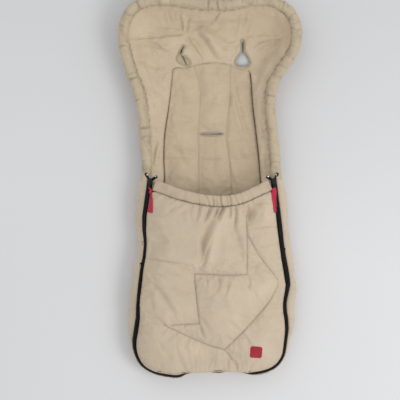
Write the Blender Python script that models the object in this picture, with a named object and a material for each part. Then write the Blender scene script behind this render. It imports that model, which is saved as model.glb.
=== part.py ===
"""Stroller footmuff on its back: padded tub with a gathered hood, and a front cover zipped round its foot."""

from math import atan2, ceil, cos, exp, hypot, pi, radians, sin, sqrt, tan

import bmesh
import bpy
from mathutils import Vector
from mathutils.bvhtree import BVHTree
from mathutils.geometry import delaunay_2d_cdt

# Overall sizes, in metres. The outlines are read off a view from straight above, in pixels of that view
LENGTH = 1.000
HOOD_WIDTH = 0.482
LENGTH_PX = 382
HOOD_WIDTH_PX = 184
MIDDLE_PX = (210.15, 185.8)

# Heights above the floor
ZIP_HEIGHT = 0.062
FOOT_ZIP_HEIGHT = 0.044
HOOD_RIM_RISE = 0.010
APRON_CROWN = 0.040

# Padded layers: two cloths with wadding between them, sewn thin along the seams
CLOTH = 0.0016
WADDING = 0.0105
SEWN_WADDING = 0.0025
GAP = 0.0003
SEAM_SOFTNESS = 0.014
QUILT_SIDE = 0.013
FILL_SPACING = 0.052
SIDE_ROOM_SHARE = 0.90
ROW_SHARE = 0.87
LOOSE_ROOM_SHARE = 0.55

# Side wall: how far its top curls in over the zip's back half, and how high that curl is
CURL_REACH = 0.015
CURL_RISE = 0.028

# Hood rim roll and its elastic cord
RIM_RADIUS = 0.013
RIM_PINCH = 0.0022
RIM_PINCH_EVERY = 3
RIM_CLEARANCE = 0.0006
RIM_UNDER_TAPE = 0.0006
RIM_WALL_SLOPE = radians(56)
CORD_RADIUS = 0.0020
CORD_ROOM = 0.0006
RIM_SIDES = 10
BORE_SIDES = 6

# Zip: tape halves, and coil halves on top of them with the slider's slot between
TAPE_WIDTH = 0.0070
TAPE_THICKNESS = 0.0008
SLOT_HALF = 0.0010
COIL_WIDTH = 0.0024
COIL_HEIGHT = 0.0022
TAPE_TAIL = 0.0110
TAIL_SHARES = (0.5, 1.0)
TAIL_SPREAD = 0.0120
BACK_TAIL_SPREAD = 0.0020
STOP_LENGTH = 0.0040
STOP_GRIP = 0.0008

# Slider and pull
SLIDER_LENGTH = 0.0150
SLIDER_PLATE = 0.0012
SLIDER_CLEARANCE = 0.0005
SLIDER_FLANGE = 0.0012
WEDGE_HALF = 0.0005
WEDGE_LENGTH = 0.0050
SLIDER_PLACE = 0.0140
BRIDGE_LENGTH = 0.0090
BRIDGE_WIDTH = 0.0016
BRIDGE_ROOM = 0.0026
BRIDGE_BAR = 0.0012
PULL_PIN = 0.0016
PULL_WIDTH = 0.0070
PULL_LENGTH = 0.0200
PULL_RAIL = 0.0014
PULL_GAP = 0.0004
RIBBON_LENGTH = 0.0600
RIBBON_WIDTH = 0.0120
RIBBON_PLY = 0.0011
RIBBON_NECK = 0.0034

# Front cover's casing, a flat hem round an elastic band
HEM_WIDTH = 0.0270
HEM_THICKNESS = 0.0110
HEM_PINCH = 0.0012
HEM_PINCH_EVERY = 2
HEM_STEPS = 3
HEM_SIDES = 10
ELASTIC_WIDTH = 0.0120
ELASTIC_THICKNESS = 0.0014
ELASTIC_ROOM = 0.0006
HEM_CLEARANCE = 0.0014

# Front cover's dome: how far in from the zip it still rises, and its sewn edge
DOME_REACH = 0.150
FOOT_DOME_REACH = 0.085
APRON_SINK_SHARE = 0.60
APRON_PUFF_RISE = 0.0070
APRON_PUFF_SOFTNESS = 0.030

# Slots for the harness, bound with a strip of cloth
BINDING = 0.0016
BINDING_LIP = 0.0012

PATCH_SIZE = 0.030
PATCH_THICKNESS = 0.0008
PATCH_GAP = 0.0004
PATCH_CELLS = 5
PATCH_TURN = radians(-4)

# Zip's straight stretches, from their top to their low end, with the base edge beside them
LEFT_ZIP_PX = ((150.5, 176), (139.6, 284))
RIGHT_ZIP_PX = ((273.0, 176), (288.06, 284))
LEFT_BASE_PX = ((163.6, 176), (154.6, 284))
RIGHT_BASE_PX = ((261.0, 176), (273.0, 284))
STRAIGHT_STEPS = 8

# Zip round the foot, left to right: zip x, y, base x, y, share of the rise to ZIP_HEIGHT, tilt in degrees
FOOT_STATIONS_PX = (
    (138.6, 297, 153.2, 297, 1.00, 12),
    (137.6, 311, 151.8, 310, 0.95, 28),
    (135.6, 330, 150.5, 328, 0.75, 48),
    (134.8, 344, 151.5, 340, 0.50, 63),
    (137.8, 356, 155.0, 349, 0.30, 73),
    (145.5, 365.5, 161.0, 354.5, 0.15, 80),
    (157.0, 371.5, 170.0, 357.5, 0.05, 84),
    (171.0, 374.6, 181.0, 358.7, 0.00, 86),
    (189.0, 375.4, 194.0, 359.0, 0.00, 86),
    (209.0, 375.0, 210.0, 358.6, 0.00, 86),
    (228.0, 374.0, 226.0, 357.8, 0.00, 86),
    (246.0, 372.6, 241.0, 356.6, 0.00, 86),
    (261.0, 370.0, 253.5, 354.2, 0.05, 84),
    (273.0, 364.5, 262.5, 350.0, 0.15, 80),
    (281.5, 355.5, 268.0, 343.5, 0.30, 73),
    (285.6, 343, 271.0, 335.0, 0.50, 63),
    (287.0, 329, 272.4, 325.0, 0.75, 48),
    (286.8, 312, 273.2, 311.0, 0.95, 28),
    (287.6, 298, 273.4, 298.0, 1.00, 12),
)
FOOT_STEPS = 2

# Hood rim, left zip top round to the right one: rim x, y, base x, y, share of the way up to HOOD_RIM_HEIGHT
HOOD_STATIONS_PX = (
    (146.0, 175.6, 163.6, 176, 0.0),
    (146.0, 156, 163.0, 156, 0.0),
    (145.0, 134, 163.8, 134, 0.1),
    (142.5, 112, 167.0, 112, 0.3),
    (138.0, 91, 170.0, 91, 0.6),
    (131.0, 73, 171.5, 75, 0.9),
    (126.0, 55, 166.5, 58, 1.0),
    (123.2, 36, 160.5, 42, 1.0),
    (126.0, 18, 162.0, 30, 1.0),
    (135.0, 6.5, 169.0, 23, 1.0),
    (148.0, 1.0, 178.0, 20.5, 1.0),
    (163.0, -0.2, 187.0, 19.5, 1.0),
    (181.0, 1.5, 197.0, 19.5, 1.0),
    (200.0, 3.6, 207.0, 20.0, 1.0),
    (217.0, 4.8, 217.0, 20.5, 1.0),
    (234.0, 3.6, 227.0, 20.0, 1.0),
    (251.0, 1.0, 237.0, 19.5, 1.0),
    (266.0, 0.0, 246.0, 20.0, 1.0),
    (279.0, 3.5, 255.0, 22.5, 1.0),
    (290.0, 12, 262.0, 28, 1.0),
    (296.0, 25, 265.5, 37, 1.0),
    (296.8, 40, 264.5, 48, 1.0),
    (291.0, 56, 260.0, 59, 1.0),
    (280.5, 71, 254.5, 73, 0.9),
    (272.0, 88, 252.6, 90, 0.6),
    (270.8, 106, 254.0, 108, 0.4),
    (272.5, 130, 256.8, 131, 0.1),
    (275.0, 154, 259.4, 154, 0.0),
    (276.5, 175.6, 261.0, 176, 0.0),
)
HOOD_STEPS = 2
TONGUE_END_STATIONS = (5, 23)

# Slots, anticlockwise seen from above, and the seams of the back lining
LEFT_SLOT_PX = (
    (181.5, 44),
    (185, 45),
    (186.3, 50),
    (189.5, 58),
    (189, 62.5),
    (184, 62.5),
    (179, 60),
    (178.3, 53),
)
RIGHT_SLOT_PX = (
    (242, 40),
    (245.5, 40),
    (246.5, 50),
    (249, 60),
    (247.5, 63),
    (240.5, 63),
    (238, 59),
    (241, 50),
)
CROTCH_SLOT_PX = (
    (201, 133),
    (206, 131.2),
    (213, 131),
    (219, 131.4),
    (223.5, 133.5),
    (219, 135.8),
    (211, 136.4),
    (205, 135.6),
)
TONGUE_TOP_PX = (
    (177, 67.5),
    (186, 67),
    (194, 63.5),
    (213, 61.5),
    (231, 63),
    (238, 66.5),
    (247, 67),
)
BACK_SEAMS_PX = (
    (
        (194, 63.5),
        (199.3, 84),
        (200.2, 100),
        (198.5, 128),
        (198.6, 157),
        (198.6, 190),
        (199, 230),
        (200, 280),
        (202, 335),
    ),
    (
        (231, 63),
        (230, 100),
        (227.5, 121),
        (227, 139),
        (229.3, 157),
        (232, 190),
        (231, 230),
        (229, 280),
        (226, 335),
    ),
)

# Front cover's quilting seams and its top edge
APRON_TOP_PX = (
    (156.2, 180.5),
    (166, 183.7),
    (178.6, 188.6),
    (198.6, 193.6),
    (218.6, 196),
    (234.3, 194.6),
    (247, 190.2),
    (258, 184.7),
    (267.4, 180.3),
)
APRON_SEAMS_PX = (
    ((245.7, 215.7), (246.4, 234), (246.4, 254), (246.6, 273.8)),
    ((246.4, 234), (260, 257), (278, 281), (266, 304), (245.7, 327), (224, 349)),
    ((194.5, 273), (210, 273.6), (227, 274.3), (246.6, 273.8)),
    ((194.5, 273), (196.4, 294), (199.3, 322.6)),
    ((172, 324), (187, 323), (199.3, 322.6)),
    ((157, 320), (170, 326.5), (190, 336), (210, 344.5), (224, 349), (232, 359)),
    ((157, 237), (174, 231.4)),
    ((151, 271), (164.3, 286)),
)
PATCH_PX = (255.6, 351)

WALL_STEPS = 3
CURL_SHARES = (0.55, 1.0)
WALL_PUFF_SHARES = (0.0, 0.75, 1.0, 1.0, 0.7, 0.15)
WALL_SINK_SHARES = (0.0, 0.0, 0.0, 0.0, 0.0, 0.0)
HOOD_PUFF_SHARES = (0.0, 0.9, 1.0, 0.35)
HOOD_SINK_SHARES = (0.0, 0.0, 0.0, 0.4)
HOOD_REACH_SHARES = (0.45, 0.40)

SHARP_ANGLE = radians(50)
CORNER_FLOOR = 0.5

# The roll's ends lie just under the zip's tape
RIM_HEIGHT = ZIP_HEIGHT - TAPE_THICKNESS / 2 - RIM_UNDER_TAPE - RIM_RADIUS
HOOD_RIM_HEIGHT = RIM_HEIGHT + HOOD_RIM_RISE

COIL_BASE = TAPE_THICKNESS / 2 + GAP
COIL_TOP = COIL_BASE + COIL_HEIGHT
UP = Vector((0, 0, 1))


def plan(x_px, y_px):
    x = (x_px - MIDDLE_PX[0]) * HOOD_WIDTH / HOOD_WIDTH_PX
    y = (MIDDLE_PX[1] - y_px) * LENGTH / LENGTH_PX
    return Vector((x, y, 0))


def flat(point):
    return Vector((point.x, point.y, 0))


def mix(a, b, share):
    return a + (b - a) * share


def smooth_rows(rows, steps):
    """Points on a smooth curve through rows of numbers, with steps to each interval."""
    before = [2 * a - b for a, b in zip(rows[0], rows[1])]
    after = [2 * a - b for a, b in zip(rows[-1], rows[-2])]
    keys = [before, *rows, after]
    made = []
    for k in range(1, len(keys) - 2):
        for step in range(steps):
            t = step / steps
            row = []
            for p0, p1, p2, p3 in zip(*keys[k - 1 : k + 3]):
                bend = (2 * p0 - 5 * p1 + 4 * p2 - p3) * t**2
                twist = (3 * p1 - p0 - 3 * p2 + p3) * t**3
                row.append((2 * p1 + (p2 - p0) * t + bend + twist) / 2)
            made.append(row)
    return made + [list(rows[-1])]


def zip_rows():
    """Stations of the zip, from the left top round the foot to the right top."""

    def straight(zip_ends, base_ends):
        rows = []
        for step in range(STRAIGHT_STEPS + 1):
            share = step / STRAIGHT_STEPS
            top, low = zip_ends[0] + base_ends[0], zip_ends[1] + base_ends[1]
            row = [mix(a, b, share) for a, b in zip(top, low)]
            rows.append(row + [1.0, 0.0])
        return rows

    left = straight(LEFT_ZIP_PX, LEFT_BASE_PX)
    right = straight(RIGHT_ZIP_PX, RIGHT_BASE_PX)[::-1]
    foot = smooth_rows([left[-1], *FOOT_STATIONS_PX, right[0]], FOOT_STEPS)
    return left[:-1] + foot + right[1:]


class Station:
    """One place along the zip: its frame, and the wall's base edge beside it."""


def zip_stations():
    stations = []
    rows = zip_rows()
    for row in rows:
        station = Station()
        station.base = plan(row[2], row[3])
        station.centre = plan(row[0], row[1]) + UP * mix(FOOT_ZIP_HEIGHT, ZIP_HEIGHT, row[4])
        station.tilt = radians(max(0.0, row[5]))
        stations.append(station)
    for i, station in enumerate(stations):
        ahead = stations[min(i + 1, len(stations) - 1)].centre
        behind = stations[max(i - 1, 0)].centre
        along = flat(ahead - behind).normalized()
        out = Vector((along.y, -along.x, 0))
        if out.dot(flat(station.centre - station.base)) < 0:
            out.negate()
        station.out = out
        station.inward = UP * sin(station.tilt) - out * cos(station.tilt)
        station.face = UP * cos(station.tilt) + out * sin(station.tilt)
    return stations


class Form:
    """A padded surface: points with inward normals, wadding and sink, and triangles tagged with a region."""

    def __init__(self):
        self.points = []
        self.normals = []
        self.wadding = []
        self.sink = []
        self.faces = []

    def add(self, point, normal, puff, sink_share):
        self.points.append(point)
        self.normals.append(normal)
        self.wadding.append(mix(SEWN_WADDING, WADDING, puff))
        self.sink.append((WADDING - SEWN_WADDING) * (1 - puff) * sink_share)
        return len(self.points) - 1

    def strip(self, rows, region):
        """Triangles between neighbouring rows of points, outer side out."""
        for first, second in zip(rows, rows[1:]):
            for j in range(len(first) - 1):
                a, b, c, d = first[j], second[j], second[j + 1], first[j + 1]
                self.faces.append(((a, c, b), region))
                self.faces.append(((a, d, c), region))


LAYERS = {
    "shell": (lambda sink, wadding: sink, lambda sink, wadding: sink + CLOTH),
    "wadding": (lambda sink, wadding: sink + CLOTH + GAP, lambda sink, wadding: sink + CLOTH + GAP + wadding),
    "lining": (
        lambda sink, wadding: sink + CLOTH + GAP * 2 + wadding,
        lambda sink, wadding: sink + CLOTH * 2 + GAP * 2 + wadding,
    ),
}


def material(name, color, roughness, metallic=0.0):
    made = bpy.data.materials.get(name)
    if made is None:
        made = bpy.data.materials.new(name)
        made.use_nodes = True
        shader = made.node_tree.nodes["Principled BSDF"]
        shader.inputs["Base Color"].default_value = (*color, 1.0)
        shader.inputs["Roughness"].default_value = roughness
        shader.inputs["Metallic"].default_value = metallic
    return made


def cloth(name, tone=1.0):
    return material(f"{name}_cloth", (0.53 * tone, 0.43 * tone, 0.31 * tone), 0.9)


def padding(name):
    return material(f"{name}_fibre", (0.85, 0.85, 0.83), 0.95)


def black_tape(name):
    return material(f"{name}_black", (0.012, 0.012, 0.014), 0.7)


def steel(name):
    return material(f"{name}_steel", (0.09, 0.09, 0.10), 0.35, 0.9)


def red_cloth(name):
    return material(f"{name}_red", (0.42, 0.02, 0.035), 0.75)


def mesh_object(name, points, faces, finish, smooth=False):
    mesh = bpy.data.meshes.new(name)
    mesh.from_pydata([tuple(p) for p in points], [], faces)
    mesh.materials.append(finish)
    if smooth:
        mesh.shade_smooth()
        mesh.set_sharp_from_angle(angle=SHARP_ANGLE)
    obj = bpy.data.objects.new(name, mesh)
    bpy.context.scene.collection.objects.link(obj)
    return obj


def panel(name, form, regions, layer, finish):
    """One layer of the form over some regions, as a closed body half a gap back from its borders."""
    faces = [face for face, region in form.faces if region in regions]
    edges = {}
    for face in faces:
        for a, b in zip(face, face[1:] + face[:1]):
            edges[(a, b)] = face
    border = [edge for edge in edges if (edge[1], edge[0]) not in edges]
    back = {}
    for a, b in border:
        along = (form.points[b] - form.points[a]).normalized()
        face = edges[(a, b)]
        corner = [i for i in face if i not in (a, b)][0]
        inward = form.points[corner] - form.points[a]
        inward = (inward - along * inward.dot(along)).normalized()
        for i in (a, b):
            back.setdefault(i, []).append(inward)
    shift = {}
    for i, directions in back.items():
        total = sum(directions, Vector()).normalized()
        spread = max(total.dot(directions[0]), CORNER_FLOOR)
        shift[i] = total * (GAP / 2 / spread)
    used = sorted({i for face in faces for i in face})
    place = {i: k for k, i in enumerate(used)}
    outer_depth, inner_depth = LAYERS[layer]
    outer, inner = [], []
    for i in used:
        point = form.points[i] + shift.get(i, Vector())
        outer.append(point + form.normals[i] * outer_depth(form.sink[i], form.wadding[i]))
        inner.append(point + form.normals[i] * inner_depth(form.sink[i], form.wadding[i]))
    count = len(used)
    solid = [tuple(place[i] for i in face) for face in faces]
    solid += [tuple(place[i] + count for i in reversed(face)) for face in faces]
    solid += [(place[b], place[a], place[a] + count, place[b] + count) for a, b in border]
    return mesh_object(name, outer + inner, solid, finish, True)


def inside(polygon, point):
    """Whether a plan point lies inside a plan polygon."""
    within = False
    for a, b in zip(polygon, polygon[1:] + polygon[:1]):
        if (a.y > point.y) == (b.y > point.y):
            continue
        if point.x < (b.x - a.x) * (point.y - a.y) / (b.y - a.y) + a.x:
            within = not within
    return within


def line_distance(line, point):
    least = None
    for a, b in zip(line, line[1:]):
        along = b - a
        share = max(0.0, min(1.0, (point - a).dot(along) / along.length_squared))
        away = (point - a - along * share).length
        least = away if least is None else min(least, away)
    return least


def dense(points, spacing):
    """The polyline with points at most spacing apart."""
    made = []
    for a, b in zip(points, points[1:]):
        count = max(1, ceil((b - a).length / spacing))
        made += [mix(a, b, step / count) for step in range(count)]
    return made + [points[-1]]


def fill(outline, holes, seams, spacing, side):
    """Plan triangles in the outline and outside the holes, with edges on the seams and points beside them."""
    coords, edges = [], []

    def take(points, closed):
        found = []
        for point in points:
            same = [k for k, other in enumerate(coords) if (other - point).length < GAP]
            if same:
                found.append(same[0])
            else:
                coords.append(point)
                found.append(len(coords) - 1)
        pairs = list(zip(found, found[1:])) + ([(found[-1], found[0])] if closed else [])
        edges.extend(pair for pair in pairs if pair[0] != pair[1])

    take(outline, True)
    for hole in holes:
        take(hole, True)
    for seam in seams:
        take(seam, False)
    fixed = list(coords)
    loose = []

    def offer(point, room):
        if not inside(outline, point) or any(inside(hole, point) for hole in holes):
            return
        if line_distance(outline + outline[:1], point) < room:
            return
        if any(line_distance(hole + hole[:1], point) < room for hole in holes):
            return
        if any(line_distance(seam, point) < room for seam in seams):
            return
        if any((other - point).length < room for other in loose):
            return
        loose.append(point)

    for seam in seams:
        for a, b in zip(seam, seam[1:]):
            along = (b - a).normalized()
            across = Vector((-along.y, along.x, 0)) * side
            for sign in (1, -1):
                offer(mix(a, b, 0.5) + across * sign, side * SIDE_ROOM_SHARE)
    for a, b in zip(outline, outline[1:] + outline[:1]):
        along = (b - a).normalized()
        across = Vector((-along.y, along.x, 0)) * side
        for sign in (1, -1):
            offer(mix(a, b, 0.5) + across * sign, side * SIDE_ROOM_SHARE)
    low_x = min(p.x for p in outline)
    high_x = max(p.x for p in outline)
    low_y = min(p.y for p in outline)
    high_y = max(p.y for p in outline)
    rows = int((high_y - low_y) / (spacing * ROW_SHARE))
    columns = int((high_x - low_x) / spacing) + 1
    for row in range(1, rows + 1):
        for column in range(columns + 1):
            shift = spacing / 2 if row % 2 else 0
            point = Vector((low_x + column * spacing + shift, low_y + row * spacing * ROW_SHARE, 0))
            offer(point, spacing * LOOSE_ROOM_SHARE)
    coords = fixed + loose
    made, _, triangles, sources, _, _ = delaunay_2d_cdt(
        [point.xy for point in coords], edges, [], 0, GAP / 100, True
    )
    order = [source[0] for source in sources]
    kept = []
    for triangle in triangles:
        corners = [coords[order[i]] for i in triangle]
        centre = sum(corners, Vector()) / 3
        if not inside(outline, centre) or any(inside(hole, centre) for hole in holes):
            continue
        turn = (corners[1] - corners[0]).cross(corners[2] - corners[0]).z
        if abs(turn) < GAP * GAP:
            continue
        face = tuple(order[i] for i in triangle)
        kept.append(face if turn > 0 else face[::-1])
    return coords, kept


def seam_puff(seams, point, softness=SEAM_SOFTNESS):
    """How full the wadding is at a plan point: 0 on a seam, 1 well away from one."""
    least = min(line_distance(seam, point) for seam in seams)
    return 1 - exp(-least / softness)


def wall_rows(form, stations):
    """Side wall below the zip tops: up and out from the base edge, then curled in to the zip."""
    rows = []
    for station in stations:
        top = station.centre - station.inward * (TAPE_WIDTH + GAP)
        out = flat(top - station.base).normalized()
        end = atan2(CURL_RISE, CURL_REACH * tan(station.tilt)) if station.tilt > 0 else pi / 2
        reach = flat(top - station.base).length + CURL_REACH * (1 - cos(end))
        shoulder = top.z - CURL_RISE * sin(end)
        row = []
        for j in range(WALL_STEPS + 1):
            angle = pi / 2 * j / WALL_STEPS
            point = station.base + out * (reach * sin(angle)) + UP * (shoulder * (1 - cos(angle)))
            normal = (UP * (reach * cos(angle)) - out * (shoulder * sin(angle))).normalized()
            row.append((point, normal))
        for share in CURL_SHARES:
            angle = end * share
            bent = out * (reach - CURL_REACH * (1 - cos(angle)))
            point = station.base + bent + UP * (shoulder + CURL_RISE * sin(angle))
            normal = (-out * (CURL_RISE * cos(angle)) - UP * (CURL_REACH * sin(angle))).normalized()
            row.append((point, normal))
        indices = []
        for (point, normal), puff, sink in zip(row, WALL_PUFF_SHARES, WALL_SINK_SHARES):
            indices.append(form.add(point, normal, puff, sink))
        rows.append(indices)
    return rows


def hood_rows(form):
    """Hood wall, from the base edge up to the underside of the rim roll: its rows, and the roll's path."""
    layers = CLOTH * 2 + GAP * 2
    stations = smooth_rows(HOOD_STATIONS_PX, HOOD_STEPS)
    centres = [plan(row[0], row[1]) + UP * mix(RIM_HEIGHT, HOOD_RIM_HEIGHT, row[4]) for row in stations]
    rows = []
    for row, centre, (_, side, up) in zip(stations, centres, path_frames(centres)):
        base = plan(row[2], row[3])
        out = flat(centre - base).normalized()
        slope = out * cos(RIM_WALL_SLOPE) + UP * sin(RIM_WALL_SLOPE)
        inward = UP * cos(RIM_WALL_SLOPE) - out * sin(RIM_WALL_SLOPE)
        end_wadding = mix(SEWN_WADDING, WADDING, HOOD_PUFF_SHARES[-1])
        end_sink = (WADDING - SEWN_WADDING) * (1 - HOOD_PUFF_SHARES[-1]) * HOOD_SINK_SHARES[-1]
        square = hypot(slope.dot(side), slope.dot(up))
        end = centre - slope * ((RIM_RADIUS + RIM_CLEARANCE) / square)
        end -= inward * (end_sink + (layers + end_wadding) / 2)
        span = (end - base).length
        lower = base + out * (span * HOOD_REACH_SHARES[0])
        upper = end - slope * (span * HOOD_REACH_SHARES[1])
        indices = []
        for j, (puff, sink) in enumerate(zip(HOOD_PUFF_SHARES, HOOD_SINK_SHARES)):
            t = j / (len(HOOD_PUFF_SHARES) - 1)
            s = 1 - t
            point = base * s**3 + lower * (3 * t * s**2) + upper * (3 * t**2 * s) + end * t**3
            run = (lower - base) * s**2 + (upper - lower) * (2 * t * s) + (end - upper) * t**2
            normal = (UP * run.dot(out) - out * run.z).normalized()
            indices.append(form.add(point, normal, puff, sink))
        rows.append(indices)
    return rows, centres


def slot_outline(points_px):
    return [plan(x, y) for x, y in points_px]


def grown(polygon, distance):
    """The polygon with each side moved outwards, for one given anticlockwise or clockwise."""
    area = sum(a.x * b.y - b.x * a.y for a, b in zip(polygon, polygon[1:] + polygon[:1]))
    turn = 1 if area > 0 else -1
    made = []
    for k, point in enumerate(polygon):
        before = (point - polygon[k - 1]).normalized()
        after = (polygon[(k + 1) % len(polygon)] - point).normalized()
        first = Vector((before.y, -before.x, 0)) * turn
        second = Vector((after.y, -after.x, 0)) * turn
        middle = (first + second).normalized()
        made.append(point + middle * (distance / max(CORNER_FLOOR, middle.dot(first))))
    return made


def make_tub(stations):
    """Base, hood and side walls, each in outer cloth, wadding and lining."""
    form = Form()
    hood, centres = hood_rows(form)
    walls = wall_rows(form, stations)
    form.strip(hood, "hood_wall")
    form.strip(walls[::-1], "side_wall")

    # The hood's last row and the side wall's first stand on the same base points
    edge = [row[0] for row in hood] + [row[0] for row in walls[::-1]][1:-1]
    outline = [form.points[i] for i in edge]
    joined = {walls[-1][0]: hood[-1][0], walls[0][0]: hood[0][0]}
    for k, (face, region) in enumerate(form.faces):
        form.faces[k] = (tuple(joined.get(i, i) for i in face), region)

    first, last = (station * HOOD_STEPS for station in TONGUE_END_STATIONS)
    tongue = [outline[first], *[plan(x, y) for x, y in TONGUE_TOP_PX], outline[last]]
    seams = [dense(tongue, FILL_SPACING)]
    seams += [dense([plan(x, y) for x, y in seam], FILL_SPACING) for seam in BACK_SEAMS_PX]
    slots = [slot_outline(points) for points in (LEFT_SLOT_PX, RIGHT_SLOT_PX, CROTCH_SLOT_PX)]
    holes = [grown(slot, BINDING + GAP) for slot in slots]
    coords, triangles = fill(outline, holes, seams, FILL_SPACING, QUILT_SIDE)
    puff_lines = seams + [outline + outline[:1]] + [hole + hole[:1] for hole in holes]
    index = {}
    for k, point in enumerate(coords):
        if k < len(outline):
            index[k] = edge[k]
        else:
            index[k] = form.add(point, UP.copy(), seam_puff(puff_lines, point), 0.0)
    above = tongue + [outline[k] for k in range(last - 1, first, -1)]
    for triangle in triangles:
        centre = sum((coords[k] for k in triangle), Vector()) / 3
        region = "hood_floor" if inside(above, centre) else "back_floor"
        form.faces.append((tuple(index[k] for k in reversed(triangle)), region))

    floor = ("hood_floor", "back_floor")
    panel("base_shell", form, floor, "shell", cloth("base_shell", 0.95))
    panel("base_wadding", form, floor, "wadding", padding("base_wadding"))
    panel("back_lining", form, ("back_floor",), "lining", cloth("back_lining"))
    panel("hood_lining", form, ("hood_floor", "hood_wall"), "lining", cloth("hood_lining"))
    panel("hood_shell", form, ("hood_wall",), "shell", cloth("hood_shell"))
    panel("hood_wadding", form, ("hood_wall",), "wadding", padding("hood_wadding"))
    panel("side_shell", form, ("side_wall",), "shell", cloth("side_shell"))
    panel("side_wadding", form, ("side_wall",), "wadding", padding("side_wadding"))
    panel("side_lining", form, ("side_wall",), "lining", cloth("side_lining", 0.9))
    for name, slot in zip(("left_slot_binding", "right_slot_binding", "crotch_slot_binding"), slots):
        make_binding(name, slot)
    return centres


def make_binding(name, slot):
    """Bound edge of a harness slot: a strip right round it, from the underside of the base to the lining."""
    outer = grown(slot, BINDING)
    top = CLOTH * 2 + GAP * 2 + SEWN_WADDING + BINDING_LIP
    points = []
    for ring, height in ((outer, 0.0), (outer, top), (slot, top), (slot, 0.0)):
        points += [point + UP * height for point in ring]
    count = len(slot)
    area = sum(a.x * b.y - b.x * a.y for a, b in zip(slot, slot[1:] + slot[:1]))
    faces = []
    for ring in range(4):
        other = (ring + 1) % 4
        for k in range(count):
            after = (k + 1) % count
            face = (ring * count + k, ring * count + after, other * count + after, other * count + k)
            faces.append(face if area > 0 else face[::-1])
    mesh_object(name, points, faces, cloth(name, 0.85))


def sweep(name, sections, finish, smooth=True):
    """A closed body through sections of equal point count, with flat ends."""
    count = len(sections[0])
    points = [point for section in sections for point in section]
    faces = []
    for i in range(len(sections) - 1):
        for j in range(count):
            k = (j + 1) % count
            a, b = i * count, (i + 1) * count
            faces += [(a + j, a + k, b + k), (a + j, b + k, b + j)]
    faces.append(tuple(range(count))[::-1])
    faces.append(tuple((len(sections) - 1) * count + j for j in range(count)))
    return turned_out(mesh_object(name, points, faces, finish, smooth))


def hollow_sweep(name, outer, inner, finish):
    """An open-ended tube through outer sections, with a bore through inner sections."""
    outer_count, inner_count = len(outer[0]), len(inner[0])
    points = [point for section in outer for point in section]
    start = len(points)
    points += [point for section in inner for point in section]
    faces = []
    for i in range(len(outer) - 1):
        for j in range(outer_count):
            k = (j + 1) % outer_count
            a, b = i * outer_count, (i + 1) * outer_count
            faces += [(a + j, a + k, b + k), (a + j, b + k, b + j)]
        for j in range(inner_count):
            k = (j + 1) % inner_count
            a, b = start + i * inner_count, start + (i + 1) * inner_count
            faces += [(a + k, a + j, b + j), (a + k, b + j, b + k)]
    obj = mesh_object(name, points, faces, finish, True)
    shape = bmesh.new()
    shape.from_mesh(obj.data)
    shape.verts.ensure_lookup_table()
    for end in (0, len(outer) - 1):
        loops = [shape.verts[end * outer_count + j] for j in range(outer_count)]
        bore = [shape.verts[start + end * inner_count + j] for j in range(inner_count)]
        rims = []
        for ring in (loops, bore):
            rims += [shape.edges.get((a, b)) for a, b in zip(ring, ring[1:] + ring[:1])]
        bmesh.ops.bridge_loops(shape, edges=rims)
    bmesh.ops.recalc_face_normals(shape, faces=shape.faces)
    shape.to_mesh(obj.data)
    shape.free()
    return obj


def turned_out(obj):
    """The object with its faces pointing outwards."""
    shape = bmesh.new()
    shape.from_mesh(obj.data)
    bmesh.ops.recalc_face_normals(shape, faces=shape.faces)
    shape.to_mesh(obj.data)
    shape.free()
    return obj


def ring(centre, side, up, width, height, count, turn=0.0):
    made = []
    for j in range(count):
        angle = 2 * pi * j / count + turn
        made.append(centre + side * (width * cos(angle)) + up * (height * sin(angle)))
    return made


def path_frames(path):
    """The horizontal side direction and the upright one at each point of a path."""
    frames = []
    for i, point in enumerate(path):
        along = (path[min(i + 1, len(path) - 1)] - path[max(i - 1, 0)]).normalized()
        side = along.cross(UP).normalized()
        frames.append((point, side, side.cross(along)))
    return frames


def make_rim(centres):
    """Gathered roll round the hood with the elastic cord drawn through it."""
    outer, bore, cord = [], [], []
    frames = path_frames(centres)
    for k, (point, side, up) in enumerate(frames):
        radius = RIM_RADIUS - (RIM_PINCH if k % RIM_PINCH_EVERY == 1 else 0)
        outer.append(ring(point, side, up, radius, radius, RIM_SIDES))
        bore.append(ring(point, side, up, CORD_RADIUS + CORD_ROOM, CORD_RADIUS + CORD_ROOM, BORE_SIDES))
        cord.append(ring(point, side, up, CORD_RADIUS, CORD_RADIUS, BORE_SIDES))
    hollow_sweep("hood_rim_casing", outer, bore, cloth("hood_rim_casing", 1.03))
    sweep("hood_rim_cord", cord, material("cord_white", (0.8, 0.8, 0.78), 0.8))


def zip_section(station, near, far, low, high):
    """A rectangle in the zip's own frame: distances towards the front cover, and heights over the tape."""
    corners = []
    for across, height in ((near, low), (far, low), (far, high), (near, high)):
        corners.append(station.centre + station.inward * across + station.face * height)
    return corners


def tail_station(station, beyond, length, spread):
    """A station past the end of the zip, where its halves part."""
    along = flat(station.centre - beyond.centre).normalized()
    made = Station()
    made.centre = station.centre + along * length + station.inward * spread
    made.inward = station.inward
    made.face = station.face
    return made


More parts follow.
